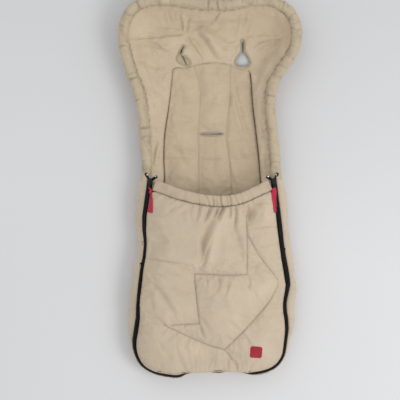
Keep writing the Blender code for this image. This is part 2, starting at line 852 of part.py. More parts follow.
def make_zip(stations):
    """Two tapes, each with its coil half on top, their ends parting above the sliders."""
    half = TAPE_THICKNESS / 2
    for name, sign, spread in (("back", -1, -BACK_TAIL_SPREAD), ("apron", 1, TAIL_SPREAD)):
        ends = []
        for first, second in ((stations[0], stations[1]), (stations[-1], stations[-2])):
            tails = []
            for share in TAIL_SHARES:
                tails.append(tail_station(first, second, TAPE_TAIL * share, spread * share**2))
            ends.append(tails)
        path = ends[0][::-1] + stations + ends[1]
        tape = [zip_section(s, sign * SLOT_HALF, sign * TAPE_WIDTH, -half, half) for s in path]
        sweep(f"{name}_zip_tape", tape, black_tape(f"{name}_zip_tape"), False)
        inner, outer = sign * SLOT_HALF, sign * (SLOT_HALF + COIL_WIDTH)
        coil = [zip_section(s, inner, outer, COIL_BASE, COIL_TOP) for s in path[1:-1]]
        sweep(f"{name}_zip_coil", coil, black_tape(f"{name}_zip_coil"), False)
        for side, near, far in (("left", path[1], path[0]), ("right", path[-2], path[-1])):
            along = (far.centre - near.centre).normalized()
            sections = []
            for reach in (GAP, GAP + STOP_LENGTH):
                place = Station()
                place.centre = near.centre + along * reach
                place.inward, place.face = near.inward, near.face
                grip = sign * STOP_GRIP / 2
                high = COIL_TOP + STOP_GRIP
                sections.append(zip_section(place, inner - grip, outer + grip, COIL_BASE, high))
            sweep(f"{name}_stop_{side}", sections, steel(f"{name}_stop_{side}"), False)


def zip_height_at(y):
    """Height of the zip beside a place on the front cover, by how far along the muff it is."""
    rows = zip_rows()
    rows = [(plan(0, row[1]).y, row[4]) for row in rows[: len(rows) // 2]]
    if y >= rows[0][0]:
        return ZIP_HEIGHT
    for (high_y, high), (low_y, low) in zip(rows, rows[1:]):
        if low_y <= y <= high_y:
            return mix(FOOT_ZIP_HEIGHT, ZIP_HEIGHT, mix(high, low, (high_y - y) / (high_y - low_y)))
    return FOOT_ZIP_HEIGHT


def quarter(share):
    """Rise of a quarter circle, from 0 upright to 1 level."""
    share = max(0.0, min(1.0, share))
    return sqrt(1 - (1 - share) ** 2)


def plan_normals(line):
    """Directions square to a plan line that runs towards +X, on its +Y side."""
    made = []
    for k in range(len(line)):
        along = (line[min(k + 1, len(line) - 1)] - line[max(k - 1, 0)]).normalized()
        made.append(Vector((-along.y, along.x, 0)))
    return made


def make_apron(stations):
    """Front cover: a quilted dome inside the zip, with its hem along the top edge."""
    sewn = [(station.centre + station.inward * (TAPE_WIDTH + GAP), station.face) for station in stations]
    top = smooth_rows([tuple(plan(x, y)[:2]) for x, y in APRON_TOP_PX], HEM_STEPS)
    top = [Vector((x, y, 0)) for x, y in top]
    sewn = [(point, face) for point, face in sewn if point.y < top[0].y - HEM_WIDTH - HEM_CLEARANCE * 2]
    edge = [flat(point) for point, _ in sewn]
    left = edge[: len(edge) // 2]
    right = edge[len(edge) // 2 :]
    low = min(point.y for point in edge)

    def width_room(point):
        sides = [line_distance(left, point), line_distance(right, point)]
        return min(sides)

    def height(point):
        rise = quarter(width_room(point) / DOME_REACH) * quarter((point.y - low) / FOOT_DOME_REACH)
        return zip_height_at(point.y) + APRON_CROWN * rise

    # The hem runs along the top edge from corner to corner, level with the dome
    down = [-up_hill for up_hill in plan_normals(top)]
    hem_line = [point + away * (HEM_WIDTH / 2) for point, away in zip(top, down)]
    hem_path = [point + UP * (height(point) - HEM_THICKNESS / 2) for point in hem_line]
    below = [point + away * (HEM_WIDTH + HEM_CLEARANCE) for point, away in zip(top, down)]
    outline = edge + below[::-1]
    seams = [dense([plan(x, y) for x, y in seam], FILL_SPACING) for seam in APRON_SEAMS_PX]
    coords, triangles = fill(outline, [], seams, FILL_SPACING, QUILT_SIDE)
    form = Form()
    border = [outline + outline[:1]]
    for k, point in enumerate(coords):
        z = sewn[k][0].z if k < len(edge) else height(point)
        within = 0.0
        if k >= len(outline):
            within = seam_puff(border, point)
            z += APRON_PUFF_RISE * seam_puff(border + seams, point, APRON_PUFF_SOFTNESS)
        form.add(point + UP * z, Vector(), min(within, seam_puff(seams, point)), APRON_SINK_SHARE * within)
    for triangle in triangles:
        form.faces.append((triangle, "apron"))
    for face, _ in form.faces:
        a, b, c = (form.points[i] for i in face)
        normal = (b - a).cross(c - a)
        for i in face:
            form.normals[i] = form.normals[i] - normal
    form.normals = [normal.normalized() for normal in form.normals]
    form.normals[: len(sewn)] = [-face for _, face in sewn]
    shell = panel("apron_shell", form, ("apron",), "shell", cloth("apron_shell", 1.05))
    panel("apron_wadding", form, ("apron",), "wadding", padding("apron_wadding"))
    panel("apron_lining", form, ("apron",), "lining", cloth("apron_lining"))
    make_hem(hem_path)
    make_patch(shell)


def make_hem(path):
    outer, bore, band = [], [], []
    for k, (point, side, up) in enumerate(path_frames(path)):
        pinch = HEM_PINCH if k % HEM_PINCH_EVERY else 0
        wide, thick = HEM_WIDTH / 2 - GAP, HEM_THICKNESS / 2 - pinch
        outer.append(ring(point, side, up, wide, thick, HEM_SIDES, pi / HEM_SIDES))
        for made, extra in ((bore, ELASTIC_ROOM), (band, 0.0)):
            half_width, half_height = ELASTIC_WIDTH / 2 + extra, ELASTIC_THICKNESS / 2 + extra
            corners = ((-1, -1), (1, -1), (1, 1), (-1, 1))
            made.append([point + side * (half_width * a) + up * (half_height * b) for a, b in corners])
    hollow_sweep("apron_casing", outer, bore, cloth("apron_casing", 1.05))
    sweep("apron_elastic", band, material("elastic_white", (0.8, 0.8, 0.78), 0.8))


def make_patch(shell):
    """Plain square patch sewn on the front cover, following its surface."""
    centre = plan(*PATCH_PX)
    corners = [vertex.co for vertex in shell.data.vertices]
    surface = BVHTree.FromPolygons(corners, [polygon.vertices for polygon in shell.data.polygons])
    across = Vector((cos(PATCH_TURN), sin(PATCH_TURN), 0))
    along = Vector((-across.y, across.x, 0))
    low, high = [], []
    for i in range(PATCH_CELLS + 1):
        for j in range(PATCH_CELLS + 1):
            x, y = (PATCH_SIZE * (k / PATCH_CELLS - 1 / 2) for k in (i, j))
            start = centre + across * x + along * y + UP * (ZIP_HEIGHT + APRON_CROWN + WADDING)
            spot, normal, _, _ = surface.ray_cast(start, -UP)
            low.append(spot + normal * PATCH_GAP)
            high.append(spot + normal * (PATCH_GAP + PATCH_THICKNESS))
    count = len(low)
    row = PATCH_CELLS + 1
    faces = []
    for i in range(PATCH_CELLS):
        for j in range(PATCH_CELLS):
            a, b, c, d = i * row + j, (i + 1) * row + j, (i + 1) * row + j + 1, i * row + j + 1
            for low_face in ((a, c, b), (a, d, c)):
                faces.append(low_face)
                faces.append(tuple(k + count for k in reversed(low_face)))
    edge = [i * row for i in range(row)]
    edge += [(row - 1) * row + j for j in range(1, row)]
    edge += [i * row + row - 1 for i in range(row - 2, -1, -1)]
    edge += list(range(row - 2, 0, -1))
    for a, b in zip(edge, edge[1:] + edge[:1]):
        faces.append((a, b, b + count, a + count))
    turned_out(mesh_object("red_patch", low + high, faces, red_cloth("red_patch")))


def block(name, frame, boxes, finish):
    """A closed body of boxes that meet, each given by two corners in a frame of origin, x, y and z."""
    origin, across, along, up = frame
    cuts = []
    for axis in range(3):
        values = sorted(corner[axis] for box in boxes for corner in box)
        kept = values[:1]
        for value in values:
            if value - kept[-1] > GAP / 100:
                kept.append(value)
        cuts.append(kept)

    def solid(cell):
        if any(not 0 <= cell[axis] < len(cuts[axis]) - 1 for axis in range(3)):
            return False
        middle = [(cuts[axis][cell[axis]] + cuts[axis][cell[axis] + 1]) / 2 for axis in range(3)]
        return any(all(low[axis] < middle[axis] < high[axis] for axis in range(3)) for low, high in boxes)

    points, places, faces = [], {}, []

    def corner(spot):
        if spot not in places:
            places[spot] = len(points)
            x, y, z = (cuts[axis][spot[axis]] for axis in range(3))
            points.append(origin + across * x + along * y + up * z)
        return places[spot]

    for i in range(len(cuts[0]) - 1):
        for j in range(len(cuts[1]) - 1):
            for k in range(len(cuts[2]) - 1):
                cell = (i, j, k)
                if not solid(cell):
                    continue
                for axis in range(3):
                    for side in (0, 1):
                        beside = list(cell)
                        beside[axis] += 1 if side else -1
                        if solid(beside):
                            continue
                        face = []
                        for u, v in ((0, 0), (1, 0), (1, 1), (0, 1)):
                            spot = list(cell)
                            spot[axis] += side
                            spot[(axis + 1) % 3] += u
                            spot[(axis + 2) % 3] += v
                            face.append(corner(tuple(spot)))
                        faces.append(tuple(face))
    return turned_out(mesh_object(name, points, faces, finish))


def make_slider(side, first, second):
    """Slider, its metal pull and the ribbon, on the zip's straight stretch a little below its top."""
    along = (second.centre - first.centre).normalized()
    origin = first.centre + along * SLIDER_PLACE
    across, up = first.inward, first.face
    half_width = SLOT_HALF + COIL_WIDTH + SLIDER_CLEARANCE + SLIDER_FLANGE
    half_length = SLIDER_LENGTH / 2
    plate_low = COIL_TOP + SLIDER_CLEARANCE
    plate_top = plate_low + SLIDER_PLATE
    under_high = -TAPE_THICKNESS / 2 - SLIDER_CLEARANCE
    under_low = under_high - SLIDER_PLATE
    flange_low = TAPE_THICKNESS / 2 + SLIDER_CLEARANCE
    flange = half_width - SLIDER_FLANGE
    bridge_half = BRIDGE_LENGTH / 2
    bridge_low = plate_top + BRIDGE_ROOM
    bridge_top = bridge_low + BRIDGE_BAR
    half_bridge = BRIDGE_WIDTH / 2
    body = [
        ((-half_width, -half_length, plate_low), (half_width, half_length, plate_top)),
        ((-half_width, -half_length, flange_low), (-flange, half_length, plate_low)),
        ((flange, -half_length, flange_low), (half_width, half_length, plate_low)),
        ((-WEDGE_HALF, -half_length, under_high), (WEDGE_HALF, WEDGE_LENGTH - half_length, plate_low)),
        ((-WEDGE_HALF, -half_length, under_low), (half_width, half_length, under_high)),
        ((-half_bridge, -bridge_half, plate_top), (half_bridge, BRIDGE_BAR - bridge_half, bridge_top)),
        ((-half_bridge, bridge_half - BRIDGE_BAR, plate_top), (half_bridge, bridge_half, bridge_top)),
        ((-half_bridge, -bridge_half, bridge_low), (half_bridge, bridge_half, bridge_top)),
    ]
    block(f"slider_{side}", (origin, across, along, up), body, steel(f"slider_{side}"))

    # The pull's pin lies under the bridge, and its frame goes round the bridge
    half_pin = PULL_PIN / 2
    axis = origin + up * (plate_top + PULL_GAP + half_pin)
    frame = (axis, across, along, up)
    half_pull = PULL_WIDTH / 2
    rail = half_pull - PULL_RAIL
    window = bridge_half + PULL_GAP * 3 + half_pin
    pull = [
        ((-half_pull, -half_pin, -half_pin), (half_pull, half_pin, half_pin)),
        ((-half_pull, 0, -half_pin), (-rail, PULL_LENGTH, half_pin)),
        ((rail, 0, -half_pin), (half_pull, PULL_LENGTH, half_pin)),
        ((-half_pull, window, -half_pin), (half_pull, window + PULL_RAIL, half_pin)),
        ((-half_pull, PULL_LENGTH - PULL_RAIL, -half_pin), (half_pull, PULL_LENGTH, half_pin)),
    ]
    block(f"pull_{side}", frame, pull, steel(f"pull_{side}"))

    # The ribbon is folded through the pull's end bar, its two ends lying together
    neck = rail - PULL_GAP
    reach = half_pin + PULL_GAP
    wrap = reach + RIBBON_PLY
    start = PULL_LENGTH - PULL_RAIL - PULL_GAP
    end = PULL_LENGTH + PULL_GAP
    neck_end = end + RIBBON_NECK
    half_ribbon = RIBBON_WIDTH / 2
    ribbon = [
        ((-neck, start - RIBBON_PLY, -wrap), (neck, start, wrap)),
        ((-neck, start, -wrap), (neck, end, -reach)),
        ((-neck, start, reach), (neck, end, wrap)),
        ((-neck, end, -wrap), (neck, neck_end, wrap)),
        ((-half_ribbon, neck_end, -RIBBON_PLY), (half_ribbon, neck_end + RIBBON_LENGTH, RIBBON_PLY)),
    ]
    block(f"ribbon_{side}", frame, ribbon, red_cloth(f"ribbon_{side}"))


def clear_scene():
    for obj in list(bpy.data.objects):
        bpy.data.objects.remove(obj, do_unlink=True)


def main():
    clear_scene()
    stations = zip_stations()
    centres = make_tub(stations)
    make_rim(centres)
    make_zip(stations)
    make_apron(stations)
    make_slider("left", stations[0], stations[1])
    make_slider("right", stations[-1], stations[-2])


main()
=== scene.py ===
import math
import bpy
import numpy as np
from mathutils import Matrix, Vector
from mathutils.bvhtree import BVHTree
from mathutils.geometry import delaunay_2d_cdt
from mathutils.kdtree import KDTree


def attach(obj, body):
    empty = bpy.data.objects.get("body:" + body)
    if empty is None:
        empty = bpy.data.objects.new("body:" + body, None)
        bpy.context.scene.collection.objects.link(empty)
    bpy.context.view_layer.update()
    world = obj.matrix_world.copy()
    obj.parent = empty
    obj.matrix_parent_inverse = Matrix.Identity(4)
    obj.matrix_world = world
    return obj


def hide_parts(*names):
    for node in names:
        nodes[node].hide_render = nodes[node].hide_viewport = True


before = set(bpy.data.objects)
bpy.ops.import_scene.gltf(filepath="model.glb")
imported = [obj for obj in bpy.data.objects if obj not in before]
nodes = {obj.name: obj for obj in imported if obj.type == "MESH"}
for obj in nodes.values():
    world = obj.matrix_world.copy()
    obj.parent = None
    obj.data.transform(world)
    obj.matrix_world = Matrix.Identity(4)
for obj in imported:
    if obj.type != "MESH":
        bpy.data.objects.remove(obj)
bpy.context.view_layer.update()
print("frame loaded:", len(nodes), "nodes")

# places are read off a view from straight above, in its pixels; lengths are in metres
photo = {"middle": (210.15, 185.8), "wide": 0.482 / 184, "long": 1.0 / 382}
heights = {"zip": 0.062, "footZip": 0.044, "rim": 0.048, "hoodRim": 0.058, "ground": 0.0004}
fullTurn = 2 * math.pi
upward = np.array([0, 0, 1.0])
seamStep = 0.0036


def toPlan(x, y):
    return ((x - photo["middle"][0]) * photo["wide"], (photo["middle"][1] - y) * photo["long"])


def planX(x):
    return toPlan(x, 0)[0]


def planY(y):
    return toPlan(0, y)[1]


def planLine(points):
    return np.array([toPlan(x, y) for x, y in points])


def unit(rows):
    return rows / np.linalg.norm(rows, axis=1)[:, None]


def runOf(path):
    # length along a path at each of its points
    return np.concatenate([[0], np.cumsum(np.linalg.norm(np.diff(path, axis=0), axis=1))])


def bell(away, width):
    return np.exp(-((away / width) ** 2))


def fade(away, reach):
    return np.exp(-away / reach)


def weaving(run, pitch, bend, slow, shift=0):
    # a wave whose pitch drifts along the run
    return np.sin(fullTurn * run / pitch + bend * np.sin(fullTurn * run / slow + shift))


def wavesAlong(run, waves, shift=0):
    return sum(size * weaving(run, *wave, shift * turn) for turn, (size, *wave) in enumerate(waves, 1))


def smoothRows(rows, steps):
    rows = np.array(rows, float)
    keys = np.vstack([2 * rows[0] - rows[1], rows, 2 * rows[-1] - rows[-2]])
    made = []
    for k in range(1, len(keys) - 2):
        p0, p1, p2, p3 = keys[k - 1 : k + 3]
        for t in (step / steps for step in range(steps)):
            bend = (2 * p0 - 5 * p1 + 4 * p2 - p3) * t**2
            twist = (3 * p1 - p0 - 3 * p2 + p3) * t**3
            made.append((2 * p1 + (p2 - p0) * t + bend + twist) / 2)
    return np.vstack(made + [rows[-1]])


def resample(path, spacing):
    # rows spaced evenly by the length of their first columns
    at = runOf(path[:, :2])
    places = np.linspace(0, at[-1], max(2, int(round(at[-1] / spacing)) + 1))
    return np.column_stack([np.interp(places, at, column) for column in path.T])


def densify(line, spacing):
    # a smooth plan line through typed places
    return resample(smoothRows(planLine(line), 8), spacing)


def ringOf(hole):
    return np.vstack([hole, hole[:1]])


def closedLine(points, spacing):
    dense = smoothRows(planLine([*points, *points, *points]), 8)
    third = len(points) * 8
    return resample(np.vstack([dense[third : 2 * third], dense[third]]), spacing)[:-1]


def shiftedLine(line, distance):
    # a plan line moved to its left
    along = unit(np.gradient(line, axis=0))
    return line + np.column_stack([-along[:, 1], along[:, 0]]) * distance


def lineReach(line, points):
    # distance from each point to a polyline, and how far along it (0 to 1) the nearest place is
    best = np.full(len(points), 9.0)
    share = np.zeros(len(points))
    at = runOf(line)
    lengths = np.linalg.norm(np.diff(line, axis=0), axis=1)
    for k, (a, b) in enumerate(zip(line[:-1], line[1:])):
        along = b - a
        t = np.clip(((points - a) @ along) / max(along @ along, 1e-12), 0, 1)
        away = np.linalg.norm(points - a - t[:, None] * along, axis=1)
        near = away < best
        best[near] = away[near]
        share[near] = (at[k] + t[near] * lengths[k]) / at[-1]
    return best, share


def nearLines(lines, points):
    # least distance from each plan point to any of the lines
    return np.min([lineReach(line, points)[0] for line in lines], axis=0)


def alongLine(line, points):
    # distance from each point to a line, and the length along the line there
    away, share = lineReach(line, points)
    return away, share * np.linalg.norm(np.diff(line, axis=0), axis=1).sum()


def placeAt(path, share):
    steps = np.linspace(0, 1, len(path))
    return np.column_stack([np.interp(share, steps, path[:, c]) for c in (0, 1)])


def heightAt(path, share):
    # height of a path of x, y, z at a share of its plan length
    places = runOf(path[:, :2])
    return np.interp(share, places / places[-1], path[:, 2])


def insideOf(polygon, points):
    within = np.zeros(len(points), bool)
    for a, b in zip(polygon, np.roll(polygon, -1, axis=0)):
        if a[1] == b[1]:
            continue
        crosses = (a[1] > points[:, 1]) != (b[1] > points[:, 1])
        left = points[:, 0] < (b[0] - a[0]) * (points[:, 1] - a[1]) / (b[1] - a[1]) + a[0]
        within ^= crosses & left
    return within


def edgesOf(faces):
    return np.concatenate([faces[:, [0, 1]], faces[:, [1, 2]], faces[:, [2, 0]]])


def planMesh(outline, holes=(), lines=(), spacing=0.004):
    # triangles inside an outline, with edges on its lines; gives plan points, triangles and border edges
    points, edges = [], []
    rings = [outline, *holes]
    for number, line in enumerate([*rings, *lines]):
        start, count = len(points), len(line)
        points.extend(line)
        edges.extend((start + k, start + k + 1) for k in range(count - 1))
        if number < len(rings):
            edges.append((start + count - 1, start))
    tree = KDTree(len(points))
    for k, p in enumerate(points):
        tree.insert((p[0], p[1], 0), k)
    tree.balance()
    low, high = outline.min(0), outline.max(0)
    rows = int((high[1] - low[1]) / (spacing * 0.866)) + 1
    columns = int((high[0] - low[0]) / spacing) + 2
    cells = [(r, c) for r in range(rows) for c in range(columns)]
    grid = np.array([(low[0] + (c + 0.5 * (r % 2)) * spacing, low[1] + r * spacing * 0.866) for r, c in cells])

    def clothAt(places):
        keep = insideOf(outline, places)
        for hole in holes:
            keep &= ~insideOf(hole, places)
        return keep

    for p in grid[clothAt(grid)]:
        if tree.find((p[0], p[1], 0))[2] > spacing * 0.6:
            points.append(p)
    made, _, faces, *_ = delaunay_2d_cdt([Vector(p) for p in points], edges, [], 0, 1e-6, True)
    made = np.array([tuple(p) for p in made])
    faces = np.array(faces)
    faces = faces[clothAt(made[faces].mean(axis=1))]
    a, b, c = (made[faces[:, k]] for k in range(3))
    turn = (b[:, 0] - a[:, 0]) * (c[:, 1] - a[:, 1]) - (b[:, 1] - a[:, 1]) * (c[:, 0] - a[:, 0])
    faces[turn < 0] = faces[turn < 0][:, ::-1]
    faces = faces[np.abs(turn) > 1e-10]
    used = np.unique(faces)
    place = np.full(len(made), -1)
    place[used] = np.arange(len(used))
    faces = place[faces]
    pairs = edgesOf(faces).tolist()
    seen = {tuple(p) for p in pairs}
    return made[used], faces, np.array([p for p in pairs if (p[1], p[0]) not in seen])


def meshObject(name, points, faces):
    mesh = bpy.data.meshes.new(name)
    mesh.from_pydata([tuple(map(float, p)) for p in points], [], [tuple(map(int, f)) for f in faces])
    mesh.validate()
    mesh.shade_smooth()
    obj = bpy.data.objects.new(name, mesh)
    bpy.context.scene.collection.objects.link(obj)
    return obj


def pointsOf(obj):
    flatPoints = np.empty(len(obj.data.vertices) * 3)
    obj.data.vertices.foreach_get("co", flatPoints)
    return flatPoints.reshape(-1, 3)


def setPoints(obj, points):
    obj.data.vertices.foreach_set("co", np.ascontiguousarray(points, float).ravel())
    obj.data.update()


def paint(obj, name, values):
    layer = obj.data.attributes.new(name, "FLOAT", "POINT")
    layer.data.foreach_set("value", np.ascontiguousarray(values, np.float32))


def paintStrip(obj, places):
    # a woven strip's own coordinates
    layer = obj.data.attributes.new("strip", "FLOAT_VECTOR", "POINT")
    layer.data.foreach_set("vector", np.ascontiguousarray(places, np.float32).ravel())


def treeOf(obj):
    mesh = obj.data
    return BVHTree.FromPolygons([v.co.copy() for v in mesh.vertices], [p.vertices[:] for p in mesh.polygons])


def metFromAbove(tree, x, y, start=0.3):
    return tree.ray_cast(Vector((x, y, start)), Vector((0, 0, -1)))[:2]


def heightsOn(tree, plan, start):
    # heights where plan points meet a surface from above; a miss takes the nearest place's height
    made = []
    for x, y in plan:
        spot = metFromAbove(tree, x, y, start)[0]
        if spot is None:
            spot = tree.find_nearest(Vector((x, y, start)))[0]
        made.append(spot.z)
    return np.array(made)


def relax(values, faces, held, rounds):
    # smooths a value over a mesh's triangles; held is 1 where it stays
    pairs = edgesOf(faces)
    pairs = np.concatenate([pairs, pairs[:, ::-1]])
    count = np.bincount(pairs[:, 0], minlength=len(values))
    for _ in range(rounds):
        total = np.bincount(pairs[:, 0], weights=values[pairs[:, 1]], minlength=len(values))
        values = values + 0.5 * (1 - held) * (total / np.maximum(count, 1) - values)
    return values


def noiseAt(points, size, seed):
    # smooth noise between -1 and 1 from a few turned waves
    rng = np.random.default_rng(seed)
    total = np.zeros(len(points))
    for _ in range(10):
        turn = rng.uniform(0, fullTurn)
        pitch = size * rng.uniform(0.6, 1.7)
        phase, bend = rng.uniform(0, fullTurn), rng.uniform(0, fullTurn)
        along = points[:, 0] * math.cos(turn) + points[:, 1] * math.sin(turn)
        across = -points[:, 0] * math.sin(turn) + points[:, 1] * math.cos(turn)
        drift = 1.6 * np.sin(fullTurn * across / (pitch * 2.3) + bend)
        total += np.sin(fullTurn * along / pitch + phase + drift)
    return total / 5.0


def swellsAt(points, swells):
    # noise of several sizes: rows of height, size and seed
    return sum(height * noiseAt(points, size, seed) for height, size, seed in swells)


def blowCloth(obj, held, care):
    # runs Cloth on a sheet that is held at its seams, and caps how far each point has moved
    start = pointsOf(obj)
    group = obj.vertex_groups.new(name="held")
    for value in np.unique(np.round(held, 2)):
        if value > 0:
            group.add([int(i) for i in np.nonzero(np.round(held, 2) == value)[0]], float(value), "REPLACE")
    cloth = obj.modifiers.new("cloth", "CLOTH")
    setup = cloth.settings
    setup.quality = 5
    setup.mass = 0.25
    setup.tension_stiffness = setup.compression_stiffness = 12
    setup.shear_stiffness = 4
    setup.bending_stiffness = 0.4
    setup.vertex_group_mass = "held"
    setup.pin_stiffness = 6
    setup.shrink_min = -care["slack"]
    setup.use_pressure = True
    setup.uniform_pressure_force = care["pressure"]
    setup.effector_weights.gravity = 0
    cloth.collision_settings.use_collision = cloth.collision_settings.use_self_collision = False
    cloth.point_cache.frame_start, cloth.point_cache.frame_end = 1, care["frames"]
    scene = bpy.context.scene
    for number in range(1, care["frames"] + 1):
        scene.frame_set(number)
    moved = pointsOf(obj.evaluated_get(bpy.context.evaluated_depsgraph_get())) - start
    obj.modifiers.remove(cloth)
    obj.vertex_groups.remove(group)
    scene.frame_set(1)
    reach = np.linalg.norm(moved, axis=1)
    average, most = float(reach.mean() * 1000), float(reach.max() * 1000)
    print(obj.name, "cloth moved", round(average, 2), "mm on average,", round(most, 1), "at most")
    limit = np.where(reach > care["cap"], care["cap"] / np.maximum(reach, 1e-9), 1.0)
    setPoints(obj, start + moved * limit[:, None])


def blownSheet(name, plan, top, faces, held, care):
    # plan and heights of a sheet after the cloth run
    sheetObj = meshObject(name, np.column_stack([plan, top]), faces)
    blowCloth(sheetObj, np.clip(held, 0, 1), care)
    shaped = pointsOf(sheetObj)
    bpy.data.objects.remove(sheetObj)
    return shaped[:, :2], shaped[:, 2]


def foldShape(folds, points):
    # heights of typed folds: each is a plan line, its depth, its width and the side its ridge stands on
    total = np.zeros(len(points))
    for line, depth, width, ridge in folds:
        path = densify(line, 0.004)
        away, share = lineReach(path, points)
        nearest = placeAt(path, share)
        along = path[-1] - path[0]
        side = np.sign(along[0] * (points[:, 1] - nearest[:, 1]) - along[1] * (points[:, 0] - nearest[:, 0]))
        signed = away * side
        ends = np.clip(np.sin(np.clip(share, 0.001, 0.999) * math.pi), 0, 1) ** 0.6
        bank = 0.55 * bell(signed - ridge * 2.0 * width, 1.3 * width)
        total += depth * ends * (bank - bell(signed, width))
    return total


def wrinkles(lines, points, pitch, reach, amount):
    # short waves square to each line, fading away from it
    total = np.zeros(len(points))
    for number, line in enumerate(lines):
        away, run = alongLine(line, points)
        wave = weaving(run, pitch, 1.4, pitch * 3.3, number)
        wave += 0.6 * weaving(run, pitch * 0.66, 2.0, pitch * 4.6)
        total += wave * fade(away, reach) * (1 - fade(away, 0.0025))
    return amount * total


def creased(relief, offset, depth, width, bank, apart, soft):
    # a groove across a roll, with a soft bank on both its sides
    relief = relief - depth * bell(offset, width)
    return relief + bank * depth * bell(np.abs(offset) - apart * width, soft * width)


def padBody(name, plan, faces, border, top, thickness, underShift=None, under=None):
    # closed pad: its top surface, its underside a thickness below, and a wall round its border
    upper = np.column_stack([plan, top])
    normals = np.zeros_like(upper)
    a, b, c = (upper[faces[:, k]] for k in range(3))
    turn = np.cross(b - a, c - a)
    for k in range(3):
        np.add.at(normals, faces[:, k], turn)
    normals /= np.maximum(np.linalg.norm(normals, axis=1), 1e-12)[:, None]
    lower = upper - normals * thickness[:, None]
    if underShift is not None:
        lower[:, :2] += underShift
    if under is not None:
        lower[:, 2] = np.minimum(lower[:, 2], under)
    lower[:, 2] = np.maximum(lower[:, 2], heights["ground"])
    count = len(plan)
    middle, rim = {}, []
    for k in border.ravel():
        if k not in middle:
            middle[k] = 2 * count + len(rim)
            rim.append((upper[k] + lower[k]) / 2)
    solid = [tuple(f) for f in faces] + [tuple(f[::-1] + count) for f in faces]
    solid += [(b, a, middle[a], middle[b]) for a, b in border]
    solid += [(middle[b], middle[a], a + count, b + count) for a, b in border]
    return meshObject(name, np.vstack([upper, lower, np.array(rim)]), solid)


def plumpness(care, toHeld):
    # how thick a pad is at a distance from its nearest seam
    thin, gain, reach = care["plump"]
    return thin + gain * (1 - fade(toHeld, reach))


def paintPad(pad, plan, seam, care):
    # painted shade from the seam values and random wear: the top's values, given to the underside and the
    # border wall too
    rest = len(pad.data.vertices) - 2 * len(plan)
    wornandlit = np.clip(noiseAt(plan, 0.12, care["seed"]), 0, 1)
    for name, values in (("seam", np.clip(seam, 0, care["deepestShade"])), ("wornandlit", wornandlit)):
        paint(pad, name, np.concatenate([values, np.zeros(len(plan)), np.full(rest, 0.5)]))


def onlyThis(obj):
    bpy.ops.object.select_all(action="DESELECT")
    obj.select_set(True)
    bpy.context.view_layer.objects.active = obj


def outwards(obj):
    onlyThis(obj)
    bpy.ops.object.mode_set(mode="EDIT")
    bpy.ops.mesh.select_all(action="SELECT")
    bpy.ops.mesh.normals_make_consistent(inside=False)
    bpy.ops.object.mode_set(mode="OBJECT")


def tubeBody(name, sections, closed=False):
    # body through rings of points: closed on itself, or with flat ends
    rings, count = sections.shape[:2]
    faces = []
    for i in range(rings if closed else rings - 1):
        here, there = i * count, (i + 1) % rings * count
        faces += [(here + j, here + (j + 1) % count, there + (j + 1) % count, there + j) for j in range(count)]
    if not closed:
        faces.append(tuple(range(count))[::-1])
        faces.append(tuple((rings - 1) * count + j for j in range(count)))
    obj = meshObject(name, sections.reshape(-1, 3), faces)
    outwards(obj)
    return obj


def rollFrame(path):
    # side and upper directions along a roll's path
    along = unit(np.gradient(path, axis=0))
    side = unit(np.cross(along, upward))
    return side, np.cross(side, along)


def settle(obj, finish, body, slot, *replaced):
    # a piece's finish and body, and the nodes it stands for: the slot's own where no others are named
    obj.data.materials.clear()
    obj.data.materials.append(finishes[finish])
    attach(obj, body)
    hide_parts(*(replaced or (slot,)))


threadCare = {"cloth": (0.0036, 0.0025, 0.00042), "patch": (0.0026, 0.0019, 0.00035), "sink": 0.0001}


def stitches(name, obj, lines, body, finish="thread", size="cloth"):
    # short threads laid end to end on a surface, along plan lines
    tree = treeOf(obj)
    pitch, length, radius = threadCare[size]
    points, faces = [], []
    for line in lines:
        path = resample(line, pitch)
        for here, there in zip(path[:-1], path[1:]):
            middle = (here + there) / 2
            spot, normal = metFromAbove(tree, *middle)
            if spot is None:
                continue
            way = Vector((*(there - here), 0))
            way = (way - normal * way.dot(normal)).normalized()
            side = normal.cross(way)
            spot = spot + normal * (radius * 0.6 - threadCare["sink"])
            start = len(points)
            points += [spot - way * length / 2, spot + side * radius, spot + normal * radius]
            points += [spot - side * radius, spot - normal * radius, spot + way * length / 2]
            for a, b in ((1, 2), (2, 3), (3, 4), (4, 1)):
                faces += [(start, start + b, start + a), (start + 5, start + a, start + b)]
    threads = meshObject(name, points, faces)
    threads.data.materials.append(finishes[finish])
    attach(threads, body)


# finishes: three shared groups first
def newGroup(name, *inputs):
    group = bpy.data.node_groups.new(name, "ShaderNodeTree")
    for label, value in inputs:
        kind = "Float" if isinstance(value, float) else "Color" if value else "Vector"
        socket = group.interface.new_socket(label, in_out="INPUT", socket_type=f"NodeSocket{kind}")
        if value is not None:
            socket.default_value = value
    for label, kind in (("Colour", "Color"), ("Roughness", "Float"), ("Height", "Float")):
        group.interface.new_socket(label, in_out="OUTPUT", socket_type=f"NodeSocket{kind}")
    return group, group.nodes.new("NodeGroupInput").outputs, group.nodes.new("NodeGroupOutput").inputs


def give(tree, socket, value):
    if isinstance(value, (int, float, tuple)):
        socket.default_value = value
    else:
        tree.links.new(value, socket)


def mathNode(tree, operation, *values):
    node = tree.nodes.new("ShaderNodeMath")
    node.operation = operation
    for socket, value in zip(node.inputs, values):
        give(tree, socket, value)
    return node.outputs[0]


def addScaled(tree, first, second, third):
    return mathNode(tree, "MULTIPLY_ADD", first, second, third)


def noiseNode(tree, vector, scale, detail=2.0, rough=0.5):
    node = tree.nodes.new("ShaderNodeTexNoise")
    for label, value in (("Vector", vector), ("Scale", scale), ("Detail", detail), ("Roughness", rough)):
        give(tree, node.inputs[label], value)
    return node.outputs["Fac"]


def mixColour(tree, share, first, second, way="MIX"):
    node = tree.nodes.new("ShaderNodeMix")
    node.data_type, node.blend_type = "RGBA", way
    for number, value in ((0, share), (6, first), (7, second)):
        give(tree, node.inputs[number], value)
    return node.outputs[2]


